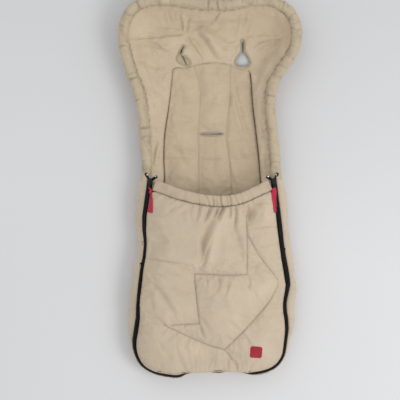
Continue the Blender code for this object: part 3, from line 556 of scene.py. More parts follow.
def scaledColour(tree, colour, tone):
    node = tree.nodes.new("ShaderNodeVectorMath")
    node.operation = "SCALE"
    give(tree, node.inputs[0], colour)
    give(tree, node.inputs["Scale"], tone)
    return node.outputs[0]


def apartNode(tree, vector):
    node = tree.nodes.new("ShaderNodeSeparateXYZ")
    give(tree, node.inputs[0], vector)
    return node.outputs


def makeWovenCloth():
    # plain weave of slubby thread: a colour that varies a little, and a height for the bump; the colour also
    # takes painted shade from the seam input and a lightening from the worn input, which is random wear on most
    # pieces and a painted highlight on the hem's gather ridges
    group, given, put = newGroup(
        "wovenCloth", ("Vector", None), ("Colour", (0.5, 0.4, 0.3, 1)), ("Pitch", 0.0012), ("Mottle", 0.5),
        ("Seam", 0.0), ("Wornandlit", 0.0),
    )
    grains = ((260.0, 3.0), (1100.0, 2.0, 0.7), (34.0, 4.0, 0.62), (7.0, 2.0), (420.0, 2.0, 0.6))
    slubs, fine, cloud, broad, specks = (noiseNode(group, given["Vector"], *grain) for grain in grains)
    parts = apartNode(group, given["Vector"])
    threads = []
    for axis, lean in ((0, 0.62), (1, 0.48)):
        turns = mathNode(group, "DIVIDE", addScaled(group, parts[2], lean, parts[axis]), given["Pitch"])
        drift = mathNode(group, "MULTIPLY", addScaled(group, slubs, 1.1, turns), fullTurn)
        threads.append(mathNode(group, "SINE", drift))
    weave = mathNode(group, "MULTIPLY", *threads)
    tone = 1.0
    for noise, share in ((cloud, 0.34), (broad, 0.16), (specks, 0.50)):
        tone = addScaled(group, mathNode(group, "SUBTRACT", noise, 0.5), share, tone)
    tone = addScaled(group, weave, 0.07, tone)
    tone = addScaled(group, mathNode(group, "SUBTRACT", fine, 0.5), 0.20, tone)
    tone = addScaled(group, mathNode(group, "SUBTRACT", tone, 1.0), given["Mottle"], 1.0)
    # painted shade where the seam attribute is high; the worn attribute lightens, as random wear and as painted
    # highlight on hem ridges
    for value, share in ((given["Seam"], -0.30), (given["Wornandlit"], 0.07)):
        tone = addScaled(group, value, share, tone)
    scaled = scaledColour(group, given["Colour"], tone)
    warm = mixColour(group, mathNode(group, "MULTIPLY", cloud, 0.12), scaled, (1.0, 0.86, 0.66, 1), "MULTIPLY")
    high = addScaled(group, weave, 0.45, mathNode(group, "MULTIPLY", fine, 0.7))
    give(group, put["Colour"], warm)
    give(group, put["Roughness"], addScaled(group, fine, 0.16, 0.78))
    give(group, put["Height"], addScaled(group, slubs, 0.9, high))
    return group


def makeTwillTape():
    # narrow woven tape: slanting ribs along its own strip coordinates
    group, given, put = newGroup(
        "twillTape", ("Strip", None), ("Vector", None), ("Colour", (0.02, 0.02, 0.02, 1)), ("Rib", 0.0009),
        ("Tint", 0.3),
    )
    parts = apartNode(group, given["Strip"])
    turns = mathNode(group, "DIVIDE", addScaled(group, parts[1], 0.7, parts[0]), given["Rib"])
    rib = mathNode(group, "SINE", mathNode(group, "MULTIPLY", turns, fullTurn))
    fluff, patchy = (noiseNode(group, given["Vector"], scale) for scale in (900.0, 60.0))
    tone = addScaled(group, rib, 0.25, mathNode(group, "SUBTRACT", fluff, 0.5))
    tone = mathNode(group, "ADD", tone, mathNode(group, "SUBTRACT", patchy, 0.5))
    give(group, put["Colour"], scaledColour(group, given["Colour"], addScaled(group, tone, given["Tint"], 1.0)))
    give(group, put["Roughness"], addScaled(group, fluff, 0.25, 0.6))
    give(group, put["Height"], addScaled(group, rib, 0.6, fluff))
    return group


def makeEdgeWearGlint():
    # rubbed metal: brighter where the surface turns sharply and in fine scratches, partly bare metal from wear
    # and partly painted glints on the edges
    group, given, put = newGroup(
        "rubbedMetalGlint", ("Vector", None), ("Coating", (0.03, 0.03, 0.03, 1)), ("Bare", (0.5, 0.5, 0.5, 1)),
        ("Edge", 0.0), ("WearGlint", 0.5),
    )
    streaks = noiseNode(group, given["Vector"], 900.0, 3.0, 0.7)
    blots = noiseNode(group, given["Vector"], 240.0)
    edge = mathNode(group, "MULTIPLY", given["Edge"], addScaled(group, blots, 1.2, 0.1))
    share = mathNode(group, "MULTIPLY", mathNode(group, "MULTIPLY", edge, given["WearGlint"]), 1.2)
    share.node.use_clamp = True
    give(group, put["Colour"], mixColour(group, share, given["Coating"], given["Bare"]))
    give(group, put["Roughness"], addScaled(group, streaks, 0.25, 0.22))
    give(group, put["Height"], streaks)
    return group


groups = {"woven": makeWovenCloth(), "twill": makeTwillTape(), "metal": makeEdgeWearGlint()}


def newFinish(name, **settings):
    finish = bpy.data.materials.new(name)
    finish.use_nodes = True
    tree = finish.node_tree
    shader = tree.nodes["Principled BSDF"]
    for label, value in settings.items():
        shader.inputs[shaderLabels[label]].default_value = value
    return finish, tree, shader, tree.nodes.new("ShaderNodeTexCoord").outputs["Object"]


def addBump(tree, shader, height, strength, distance):
    bump = tree.nodes.new("ShaderNodeBump")
    for label, value in (("Strength", strength), ("Distance", distance), ("Height", height)):
        give(tree, bump.inputs[label], value)
    give(tree, shader.inputs["Normal"], bump.outputs["Normal"])


def groupFinish(name, group, values, layers, bump, **settings):
    # a finish round a shared group: its values, the attributes it reads, its bump and the shader's settings
    finish, tree, shader, place = newFinish(name, **settings)
    made = tree.nodes.new("ShaderNodeGroup")
    made.node_tree = groups[group]
    give(tree, made.inputs["Vector"], place)
    for label, value in values.items():
        give(tree, made.inputs[label], value)
    for layer, output in layers:
        node = tree.nodes.new("ShaderNodeAttribute")
        node.attribute_name = layer
        give(tree, made.inputs[layer.title()], node.outputs[output])
    give(tree, shader.inputs["Base Color"], made.outputs["Colour"])
    give(tree, shader.inputs["Roughness"], made.outputs["Roughness"])
    addBump(tree, shader, made.outputs["Height"], *bump)
    return finish


def clothFinish(name, colour, pitch=0.0013, mottle=0.5):
    # reads the seam attribute (painted shade) and the worn attribute (random wear, painted highlight on hem
    # ridges)
    values = {"Colour": (*colour, 1), "Pitch": pitch, "Mottle": mottle}
    return groupFinish(
        name, "woven", values, (("seam", "Fac"), ("wornandlit", "Fac")), (0.35, 0.0005),
        sheen=0.25, sheenRough=0.5, sheenTint=(1.0, 0.93, 0.82, 1), shine=0.25,
    )


def tapeFinish(name, colour, rib=0.0009, tint=0.3, sheen=0.2):
    values = {"Colour": (*colour, 1), "Rib": rib, "Tint": tint}
    return groupFinish(name, "twill", values, (("strip", "Vector"),), (0.5, 0.0002), sheen=sheen, shine=0.3)


def metalFinish(name, coating, bare, wearGlint, metallic=0.0, shine=0.5):
    values = {"Coating": (*coating, 1), "Bare": (*bare, 1), "WearGlint": wearGlint}
    settings = {"metallic": metallic, "shine": shine}
    return groupFinish(name, "metal", values, (("edge", "Fac"),), (0.15, 0.0001), **settings)


def tinted(colour, share):
    return (*[min(1, c * share) for c in colour], 1)


def threadFinish(name, colour):
    finish, tree, shader, place = newFinish(name, rough=0.75, sheen=0.3)
    fluff = noiseNode(tree, place, 1500.0)
    give(tree, shader.inputs["Base Color"], mixColour(tree, fluff, tinted(colour, 0.8), tinted(colour, 1.2)))
    addBump(tree, shader, fluff, 0.3, 0.0001)
    return finish


shaderLabels = {
    "metallic": "Metallic", "rough": "Roughness", "sheen": "Sheen Weight", "sheenRough": "Sheen Roughness",
    "sheenTint": "Sheen Tint", "shine": "Specular IOR Level",
}
finishes = {
    # the hood lining is a little lighter than the back lining, painted light; the rim cloth is the same beige
    # darkened, painted shade
    "hood": clothFinish("hoodLiningClothLit", (0.570, 0.470, 0.341)),
    "back": clothFinish("backLiningCloth", (0.535, 0.437, 0.308)),
    "cover": clothFinish("coverCloth", (0.545, 0.454, 0.340), pitch=0.0014),
    "hem": clothFinish("coverHemCloth", (0.512, 0.418, 0.306), pitch=0.0014),
    "side": clothFinish("sideCloth", (0.560, 0.470, 0.360), pitch=0.0014),
    "rim": clothFinish("rimClothShaded", (0.500, 0.415, 0.296)),
    "binding": clothFinish("slotBindingCloth", (0.44, 0.37, 0.27), pitch=0.0009, mottle=0.4),
    "thread": threadFinish("beigeThread", (0.50, 0.41, 0.28)),
    "zipTape": tapeFinish("zipTapeCloth", (0.0065, 0.0065, 0.007), sheen=0.04),
    "ribbon": tapeFinish("redRibbonWeave", (0.46, 0.022, 0.052), rib=0.0016, tint=0.4, sheen=0.10),
    "patch": tapeFinish("redPatchWeave", (0.36, 0.016, 0.034), rib=0.0012, tint=0.35, sheen=0.12),
    "patchThread": threadFinish("redThread", (0.42, 0.03, 0.05)),
    # the wear share also paints small glints on the hardware's edges
    "metal": metalFinish("blackEnamelMetal", (0.006, 0.006, 0.007), (0.55, 0.55, 0.57), 0.05, shine=0.18),
    "stop": metalFinish("stopSteel", (0.42, 0.42, 0.44), (0.80, 0.80, 0.82), 0.8, metallic=0.9),
    "tooth": metalFinish("zipCoilNylon", (0.007, 0.007, 0.008), (0.06, 0.06, 0.065), 0.5, shine=0.2),
}
print("finishes made:", len(finishes))

# the zip's path and the hood rim's path, as rows of plan places and shares of height
zipPlan = {
    "leftTop": (150.5, 176, 163.6, 176), "leftLow": (139.6, 284, 154.6, 284),
    "rightTop": (273.0, 176, 261.0, 176), "rightLow": (288.06, 284, 273.0, 284),
    "foot": (
        (138.6, 297, 153.2, 297, 1.0, 12), (137.6, 311, 151.8, 310, 0.95, 28),
        (135.6, 330, 150.5, 328, 0.75, 48), (134.8, 344, 151.5, 340, 0.5, 63),
        (137.8, 356, 155.0, 349, 0.3, 73), (144.0, 366.0, 161.0, 354.5, 0.15, 80),
        (155.2, 372.8, 170.0, 357.5, 0.05, 84), (169.5, 376.0, 181.0, 358.7, 0.0, 86),
        (179.5, 376.6, 187.5, 359.0, 0.0, 86), (186.8, 373.7, 193.0, 359.0, 0.0, 86),
        (197.0, 371.9, 200.0, 359.0, 0.0, 86), (209.0, 371.2, 209.5, 358.6, 0.0, 86),
        (218.0, 372.4, 218.0, 358.3, 0.0, 86), (228.0, 371.0, 226.0, 357.8, 0.0, 86),
        (240.0, 371.6, 235.0, 357.2, 0.0, 86), (251.0, 373.8, 244.0, 356.2, 0.0, 86),
        (265.0, 371.6, 253.5, 354.2, 0.05, 84), (275.8, 366.0, 262.5, 350.0, 0.15, 80),
        (282.6, 356.5, 268.0, 343.5, 0.3, 73), (285.6, 343, 271.0, 335.0, 0.5, 63),
        (287.0, 329, 272.4, 325.0, 0.75, 48), (286.8, 312, 273.2, 311.0, 0.95, 28),
        (287.6, 298, 273.4, 298.0, 1.0, 12),
    ),
}
zipWander = {
    "left": (
        (176, 200, 212, 221, 230, 237, 245, 252, 262, 272, 284, 292, 300, 309, 316, 324, 333, 341, 356),
        (0, -0.9, -2.1, -1.8, -0.7, 0.7, 2.1, 2.5, 1.6, 0.6, 0.6, 0.3, 0, 0.2, 1.0, 0.8, 0.3, -0.4, -1.1),
    ),
    "right": (
        (176, 200, 212, 230, 241, 252, 262, 276, 286, 294, 301, 310, 318, 330, 340, 349, 356),
        (0, 0.1, -0.2, -0.7, -1.0, -1.1, -0.8, -0.1, -0.4, -1.7, -2.9, -2.3, -0.8, -0.2, -0.4, 0, 0.2),
    ),
}
zipShow = {
    "left": (
        (170, 200, 225, 240, 250, 285, 300, 312, 325, 341, 356, 370),
        (6.4, 6.0, 5.2, 3.6, 3.5, 4.8, 4.2, 5.6, 7.2, 7.4, 6.2, 5.2),
    ),
    "right": (
        (170, 200, 225, 245, 262, 280, 290, 301, 314, 330, 349, 370),
        (6.6, 5.8, 6.6, 6.0, 6.6, 6.6, 5.2, 4.6, 5.4, 5.6, 5.6, 5.4),
    ),
}
zipFlat = ((138, 152, 164, 181, 187, 247, 252, 262, 276, 284), (1, 0.8, 0.5, 0.5, 1, 1, 0.5, 0.5, 0.75, 1))
zipLean = ((0, 12, 28, 48, 63, 73, 80, 84, 86), (0, 6, 12, 20, 28, 38, 48, 62, 76))
hoodPlan = (
    (145.2, 189.0, 162.6, 189, -0.1), (146.0, 175.6, 163.6, 176, 0.0), (146.0, 156, 163.0, 156, 0.0),
    (145.0, 134, 163.8, 134, 0.1), (142.5, 112, 167.0, 112, 0.3), (138.0, 91, 170.0, 91, 0.6),
    (131.0, 73, 171.5, 75, 0.9), (126.0, 55, 166.5, 58, 1.0), (123.2, 36, 160.5, 42, 1.0),
    (126.0, 18, 162.0, 30, 1.0), (135.0, 6.5, 169.0, 23, 1.0), (148.0, 1.0, 178.0, 20.5, 1.0),
    (163.0, -0.2, 187.0, 19.5, 1.0), (181.0, 1.5, 197.0, 19.5, 1.0), (200.0, 3.6, 207.0, 20.0, 1.0),
    (217.0, 4.8, 217.0, 20.5, 1.0), (234.0, 3.6, 227.0, 20.0, 1.0), (251.0, 1.0, 237.0, 19.5, 1.0),
    (266.0, 0.0, 246.0, 20.0, 1.0), (279.0, 3.5, 255.0, 22.5, 1.0), (290.0, 12, 262.0, 28, 1.0),
    (296.0, 25, 265.5, 37, 1.0), (296.8, 40, 264.5, 48, 1.0), (291.0, 56, 260.0, 59, 1.0),
    (280.5, 71, 254.5, 73, 0.9), (272.0, 88, 252.6, 90, 0.6), (270.8, 106, 254.0, 108, 0.4),
    (272.5, 130, 256.8, 131, 0.1), (275.0, 154, 259.4, 154, 0.0), (276.5, 175.6, 261.0, 176, 0.0),
    (278.2, 189.0, 262.4, 189, -0.1),
)


def straightRows(start, end, steps):
    pairs = list(zip(zipPlan[start], zipPlan[end]))
    return [[*(a + (b - a) * (step / 8) for a, b in pairs), 1.0, 0.0] for step in steps]


def zipStations(spacing):
    # rows of zip x, y, z, base x, y, lean and tilt, from the left top round the foot to the right top
    ends = [[*zipPlan[name], 1.0, 0.0] for name in ("leftLow", "rightLow")]
    rows = np.vstack([
        straightRows("leftTop", "leftLow", range(8)),
        smoothRows([ends[0], *zipPlan["foot"], ends[1]], 3),
        straightRows("rightLow", "rightTop", range(1, 9)),
    ])
    half = len(rows) // 2
    rows[:half, 0] += np.interp(rows[:half, 1], *zipWander["left"])
    rows[half:, 0] += np.interp(rows[half:, 1], *zipWander["right"])
    tilt = np.maximum(rows[:, 5], 0)
    return resample(np.column_stack([
        planLine(rows[:, :2]),
        heights["footZip"] + (heights["zip"] - heights["footZip"]) * rows[:, 4],
        planLine(rows[:, 2:4]),
        np.radians(np.interp(tilt, *zipLean) * np.interp(rows[:, 0], *zipFlat)),
        np.radians(tilt),
    ]), spacing)


def rimStations(spacing):
    # rows of rim x, y, z, base x, y, from the left zip top round the hood to the right one
    rows = smoothRows(hoodPlan, 4)
    high = heights["rim"] + (heights["hoodRim"] - heights["rim"]) * rows[:, 4]
    return resample(np.column_stack([planLine(rows[:, :2]), high, planLine(rows[:, 2:4])]), spacing)


def zipFrames(stations):
    # centre, inward and face directions at each place of the zip
    centres = stations[:, :3]
    along = unit(np.gradient(centres[:, :2], axis=0))
    out = np.column_stack([along[:, 1], -along[:, 0]])
    out[np.einsum("ij,ij->i", out, stations[:, :2] - stations[:, 3:5]) < 0] *= -1
    out = np.column_stack([out, np.zeros(len(out))])
    lean = stations[:, 5][:, None]
    return centres, upward * np.sin(lean) - out * np.cos(lean), upward * np.cos(lean) + out * np.sin(lean)


def bySide(stations, rows):
    # a value along each half of the zip, from rows of places and of millimetres
    half = len(stations) // 2
    made = np.empty(len(stations))
    for part, name in ((slice(0, half), "left"), (slice(half, None), "right")):
        places, values = rows[name]
        places = [planY(y) for y in places[::-1]]
        made[part] = np.interp(stations[part, 1], places, values[::-1]) / 1000
    return made


def shownHalf(stations):
    # how far each cloth edge stays from the middle of the zip
    return bySide(stations, zipShow)[:, None]


def quarterRise(share):
    return np.sqrt(1 - (1 - np.clip(share, 0, 1)) ** 2)


zipPath = zipStations(0.0034)
zipCentres, zipInward, zipFace = zipFrames(zipPath)
leftZip = zipPath[: len(zipPath) // 2]
leftZip = leftZip[np.argsort(leftZip[:, 1])]
rimPath = rimStations(seamStep)
rimLine = rimPath[:, :2]


# the front cover: one quilted pad inside the zip, blown up between its seams
coverCare = {
    "spacing": 0.0036, "crown": 0.04, "reach": 0.15, "footReach": 0.085, "seamDepth": 0.0046, "seamSoft": 0.009,
    "pressure": 5.0, "slack": 0.045, "cap": 0.009, "hemWidth": 0.0284, "fuller": 1.2,
    "top": (
        (156.2, 180.5), (166, 183.7), (178.6, 188.6), (198.6, 193.6), (218.6, 196), (234.3, 194.6),
        (247, 190.2), (258, 184.7), (267.4, 180.3),
    ),
    "seams": (
        ((245.7, 215.7), (246.4, 234), (246.4, 254), (246.6, 273.8)),
        ((246.4, 234), (260, 257), (272, 272), (277.5, 281), (274, 291), (266, 304), (245.7, 327), (224, 349)),
        ((194.5, 273), (210, 273.6), (227, 274.3), (246.6, 273.8)),
        ((194.5, 273), (195.2, 284), (196.9, 301), (199.3, 322.6)), ((172, 324), (187, 323), (199.3, 322.6)),
        ((165, 323.6), (171, 327), (190, 336), (210, 344.5), (224, 349), (232, 359)),
    ),
    "folds": (
        (((152, 240), (160, 236), (174, 231.4)), 0.0014, 0.0035, 1),
        (((147, 270), (155, 279), (165, 287)), 0.0018, 0.0035, -1),
        (((217, 207), (209, 226), (204, 242), (202.5, 256), (198, 270)), 0.0105, 0.009, 1),
        (((213, 236), (207, 252), (204, 263), (196.5, 271)), 0.0045, 0.0034, -1),
        (((231, 206), (232, 225), (237, 243), (242, 262)), 0.008, 0.01, 1),
        (((202, 236), (202.5, 247), (201, 260)), 0.0036, 0.0045, -1),
        (((225, 203), (222, 211), (217, 220)), 0.0095, 0.0036, 1),
        (((234.5, 203), (235.5, 214), (234, 228)), 0.0072, 0.0038, -1),
        (((212, 204), (209, 212), (203, 224)), 0.0068, 0.0042, 1),
        (((219, 204), (217, 211), (213, 219)), 0.0052, 0.003, -1),
        (((229.5, 204), (230, 210), (229, 218)), 0.0046, 0.0028, -1),
        (((200, 203), (199, 212), (195, 222)), 0.0036, 0.004, 1),
        (((150, 278), (163, 296), (176, 316)), 0.005, 0.008, 1),
        (((204, 275), (207, 281), (205, 288)), 0.0028, 0.0032, 1),
        (((216, 275), (219, 283), (215, 292)), 0.0032, 0.0034, -1),
        (((229, 275), (227, 286), (223, 297)), 0.0034, 0.0042, 1),
        (((200, 324), (201.5, 329), (203, 335)), 0.0028, 0.0028, 1),
        (((247, 275), (249, 281), (248, 288)), 0.0026, 0.0028, 1),
        (((232, 359), (236, 364), (238, 370)), 0.0036, 0.0032, 1),
        (((242, 200), (242.5, 208), (241, 218)), 0.0026, 0.0035, 1),
        (((186, 201), (190, 212), (192, 226)), 0.0022, 0.005, -1),
        (((247, 226), (252, 228), (259, 225.7)), 0.0018, 0.004, 1),
        (((249, 202), (256, 204), (262, 200)), 0.004, 0.0075, 1),
        (((150, 288), (151, 300), (156, 312)), 0.0022, 0.0065, 1),
        (((158, 250), (170, 262), (186, 268)), 0.0016, 0.0085, -1),
        (((214, 285), (222, 300), (230, 318)), 0.0014, 0.0085, 1),
        (((262, 232), (270, 240), (279, 244)), 0.0016, 0.006, 1),
        (((225, 240), (232, 252), (236, 268)), 0.0014, 0.008, 1),
        (((182, 343), (187, 351), (189, 361)), 0.0012, 0.006, 1),
        (((204, 351), (206, 358), (205, 366)), 0.0012, 0.006, -1),
        (((226, 357), (227, 363), (226, 369)), 0.0018, 0.005, 1),
        (((160, 340), (163, 348), (168, 356)), 0.001, 0.0065, -1),
    ),
    "patch": (255.6, 351), "lobes": ((189.5, 212, 1.0), (225, 246.5, 0.95)), "overhang": 0.0105,
    "footEdge": (
        (130, 380), (180, 377.5), (187, 374.2), (191, 373.2), (200, 372.7), (212, 372.6), (218, 373.4),
        (225, 372.5), (235, 372.1), (245, 372.7), (251, 374.2), (258, 377), (295, 380),
    ),
    "pit": 0.024, "pitTop": (247, 189), "pitEnd": (265, 226), "frames": 20,
    "swells": ((0.0016, 0.085, 3), (0.0006, 0.026, 4)), "crease": 0.0016, "lobeSoft": 0.004,
    "hemGap": 0.0016, "sewnUp": 0.0012, "edgeUp": 0.001, "edgeSoft": 0.0016, "flatReach": 0.02,
    "borderUp": 0.003, "borderReach": 0.012, "lineGap": 0.0018, "seamHold": 0.0016, "edgeHold": 0.0018,
    "gatherUp": 0.00085, "pitSoft": (0.004, 0.018, 0.03, 0.012), "creaseWidth": 0.0013,
    "plump": (0.006, 0.0075, 0.014),
    "shadeTones": ((0.85, 0.0012), (0.15, 0.002), (1.1, 0.003)), "deepestShade": 1.4, "seed": 9, "brokenShade": (260, 97, 71),
    "trimStep": 0.002, "keptBeyond": 0.15, "lobeAway": 0.008, "lobeRows": 0.03, "footGive": 0.0005,
    "footSoft": 0.002,
    "gathers": {
        "short": ((1, 0.0125, 1.3, 0.041), (0.6, 0.0083, 2.1, 0.057)), "zipReach": 0.016, "seamReach": 0.01,
        "calm": 0.0025, "long": ((1.1, 0.0115, 1.8, 0.047), (0.7, 0.019, 1.1, 0.09)), "column": 222,
        "spread": 0.055, "least": 0.4, "gain": 0.9, "full": 1.5, "hemReach": 0.022,
    },
}


def crownAt(edge, plan):
    # the cover's rounded height inside its sewn edge, before any quilting
    half = len(edge) // 2
    room = np.minimum(lineReach(edge[:half], plan)[0], lineReach(edge[half:], plan)[0])
    foot = (plan[:, 1] - edge[:, 1].min()) / coverCare["footReach"]
    rise = quarterRise(room / coverCare["reach"]) * quarterRise(foot)
    return np.interp(plan[:, 1], leftZip[:, 1], leftZip[:, 2]) + coverCare["crown"] * rise


def underHem(sewn):
    return sewn[sewn[:, 1] < hemTop[0, 1] - coverCare["hemWidth"] - coverCare["hemGap"]]


def gathersAt(line, seams, below, plan):
    # short waves square to each seam and to the zip, and the long ones under the drawn hem
    care = coverCare["gathers"]
    total = np.zeros(len(plan))
    for number, path in enumerate([*seams, line]):
        away, run = alongLine(path, plan)
        reach = care["zipReach"] if number == len(seams) else care["seamReach"]
        total += wavesAlong(run, care["short"], number) * fade(away, reach) * (1 - fade(away, care["calm"]))
    away, run = alongLine(below, plan)
    drawn = care["least"] + care["gain"] * bell(plan[:, 0] - planX(care["column"]), care["spread"])
    return total + care["full"] * wavesAlong(run, care["long"]) * drawn * fade(away, care["hemReach"]), run


def trimCover(pad, outline, edge):
    # nothing of the pad reaches past its sewn edge, except two lobes over the zip at the foot's middle
    care = coverCare
    points = pointsOf(pad)
    ring = resample(ringOf(outline), care["trimStep"])
    nearest = placeAt(ring, lineReach(ring, points[:, :2])[1])
    beyond = ~insideOf(outline, points[:, :2])
    points[beyond, :2] = nearest[beyond] + care["keptBeyond"] * (points[beyond, :2] - nearest[beyond])
    lobes = np.zeros(len(points))
    for left, right, full in care["lobes"]:
        inner = np.minimum(points[:, 0] - planX(left), planX(right) - points[:, 0]) / care["lobeSoft"]
        lobes += full / (1 + np.exp(-np.clip(inner, -30, 30)))
    low = bell(lineReach(edge, points[:, :2])[0] - care["lobeAway"], care["lobeAway"])
    low *= points[:, 1] < points[:, 1].min() + care["lobeRows"]
    points[:, 1] -= care["overhang"] * lobes * low
    limit = np.interp(points[:, 0], *planLine(care["footEdge"]).T)
    past = np.maximum(limit - points[:, 1], 0)
    points[:, 1] = np.where(past > 0, limit - care["footGive"] * np.tanh(past / care["footSoft"]), points[:, 1])
    setPoints(pad, points)


def makeCover():
    care = coverCare
    sewn = underHem(zipCentres + zipInward * shownHalf(zipPath) + zipFace * care["sewnUp"])
    edge = sewn[:, :2]
    below = shiftedLine(hemTop, -care["hemWidth"])
    outline = np.vstack([edge, below[::-1][2:-2]])
    seams = [densify(line, seamStep) for line in care["seams"]]
    beside = [shiftedLine(line, away)[2:-2] for line in seams for away in (-care["lineGap"], care["lineGap"])]
    plan, faces, border = planMesh(outline, (), seams + beside, care["spacing"])
    toEdge, edgeShare = lineReach(edge, plan)
    near = fade(toEdge, care["edgeSoft"])
    top = crownAt(edge, plan) * (1 - near) + (heightAt(sewn, edgeShare) + care["edgeUp"]) * near
    toSeam = nearLines(seams, plan)
    toBorder = np.minimum(toEdge, lineReach(below, plan)[0])
    flatPart = 1 - fade(toBorder, care["flatReach"])
    depth = care["seamDepth"] * fade(toSeam, care["seamSoft"]) * flatPart
    top = top - depth + care["borderUp"] * (1 - fade(toBorder, care["borderReach"]))
    held = np.maximum(bell(toSeam, care["seamHold"]), bell(toBorder, care["edgeHold"]))
    plan, top = blownSheet("coverSheet", plan, top, faces, held, care)
    gathers, hemRun = gathersAt(edge, seams, below, plan)
    top = top + care["gatherUp"] * gathers + care["fuller"] * foldShape(care["folds"], plan)
    # a hollow runs down from the hem's right end
    left, high = toPlan(*care["pitTop"])
    right, deep = toPlan(*care["pitEnd"])
    sideSoft, topSoft, endSoft, hemSoft = care["pitSoft"]
    toHem = lineReach(below, plan)[0]
    fall = np.clip((right - plan[:, 0]) / (right - left), 0, 1)
    fall *= np.clip((plan[:, 0] - left) / sideSoft + 1, 0, 1)
    span = np.clip((high - plan[:, 1]) / topSoft, 0, 1) * np.clip((plan[:, 1] - deep) / endSoft, 0, 1)
    top -= care["pit"] * fall * span * (1 - bell(toHem, hemSoft))
    top += swellsAt(plan, care["swells"]) * flatPart
    top -= care["crease"] * bell(toSeam, care["creaseWidth"]) * flatPart
    pad = padBody("coverPad", plan, faces, border, top, plumpness(care, np.minimum(toSeam, toBorder)))
    trimCover(pad, outline, edge)
    # painted shade: darker along the quilting seams and the cover's edges, and a broken dark line at the hem's
    # lower seam
    fine, bend, coarse = care["brokenShade"]
    brokenShade = 0.5 + 0.5 * np.sin(hemRun * fine + 2.2 * np.sin(hemRun * bend)) * np.sin(hemRun * coarse + 1)
    (seamShade, seamWide), (edgeShade, edgeWide), (hemShade, hemWide) = care["shadeTones"]
    tone = seamShade * bell(toSeam, seamWide) + edgeShade * bell(toBorder, edgeWide)
    paintPad(pad, plan, tone + hemShade * brokenShade * bell(toHem, hemWide), care)
    settle(pad, "cover", "apron", "apron_shell", "apron_shell", "apron_wadding", "apron_lining")
    stitches("coverStitching", pad, seams, "apron")
    return pad


hemTop = densify(coverCare["top"], seamStep)
coverPad = makeCover()
print("cover made")

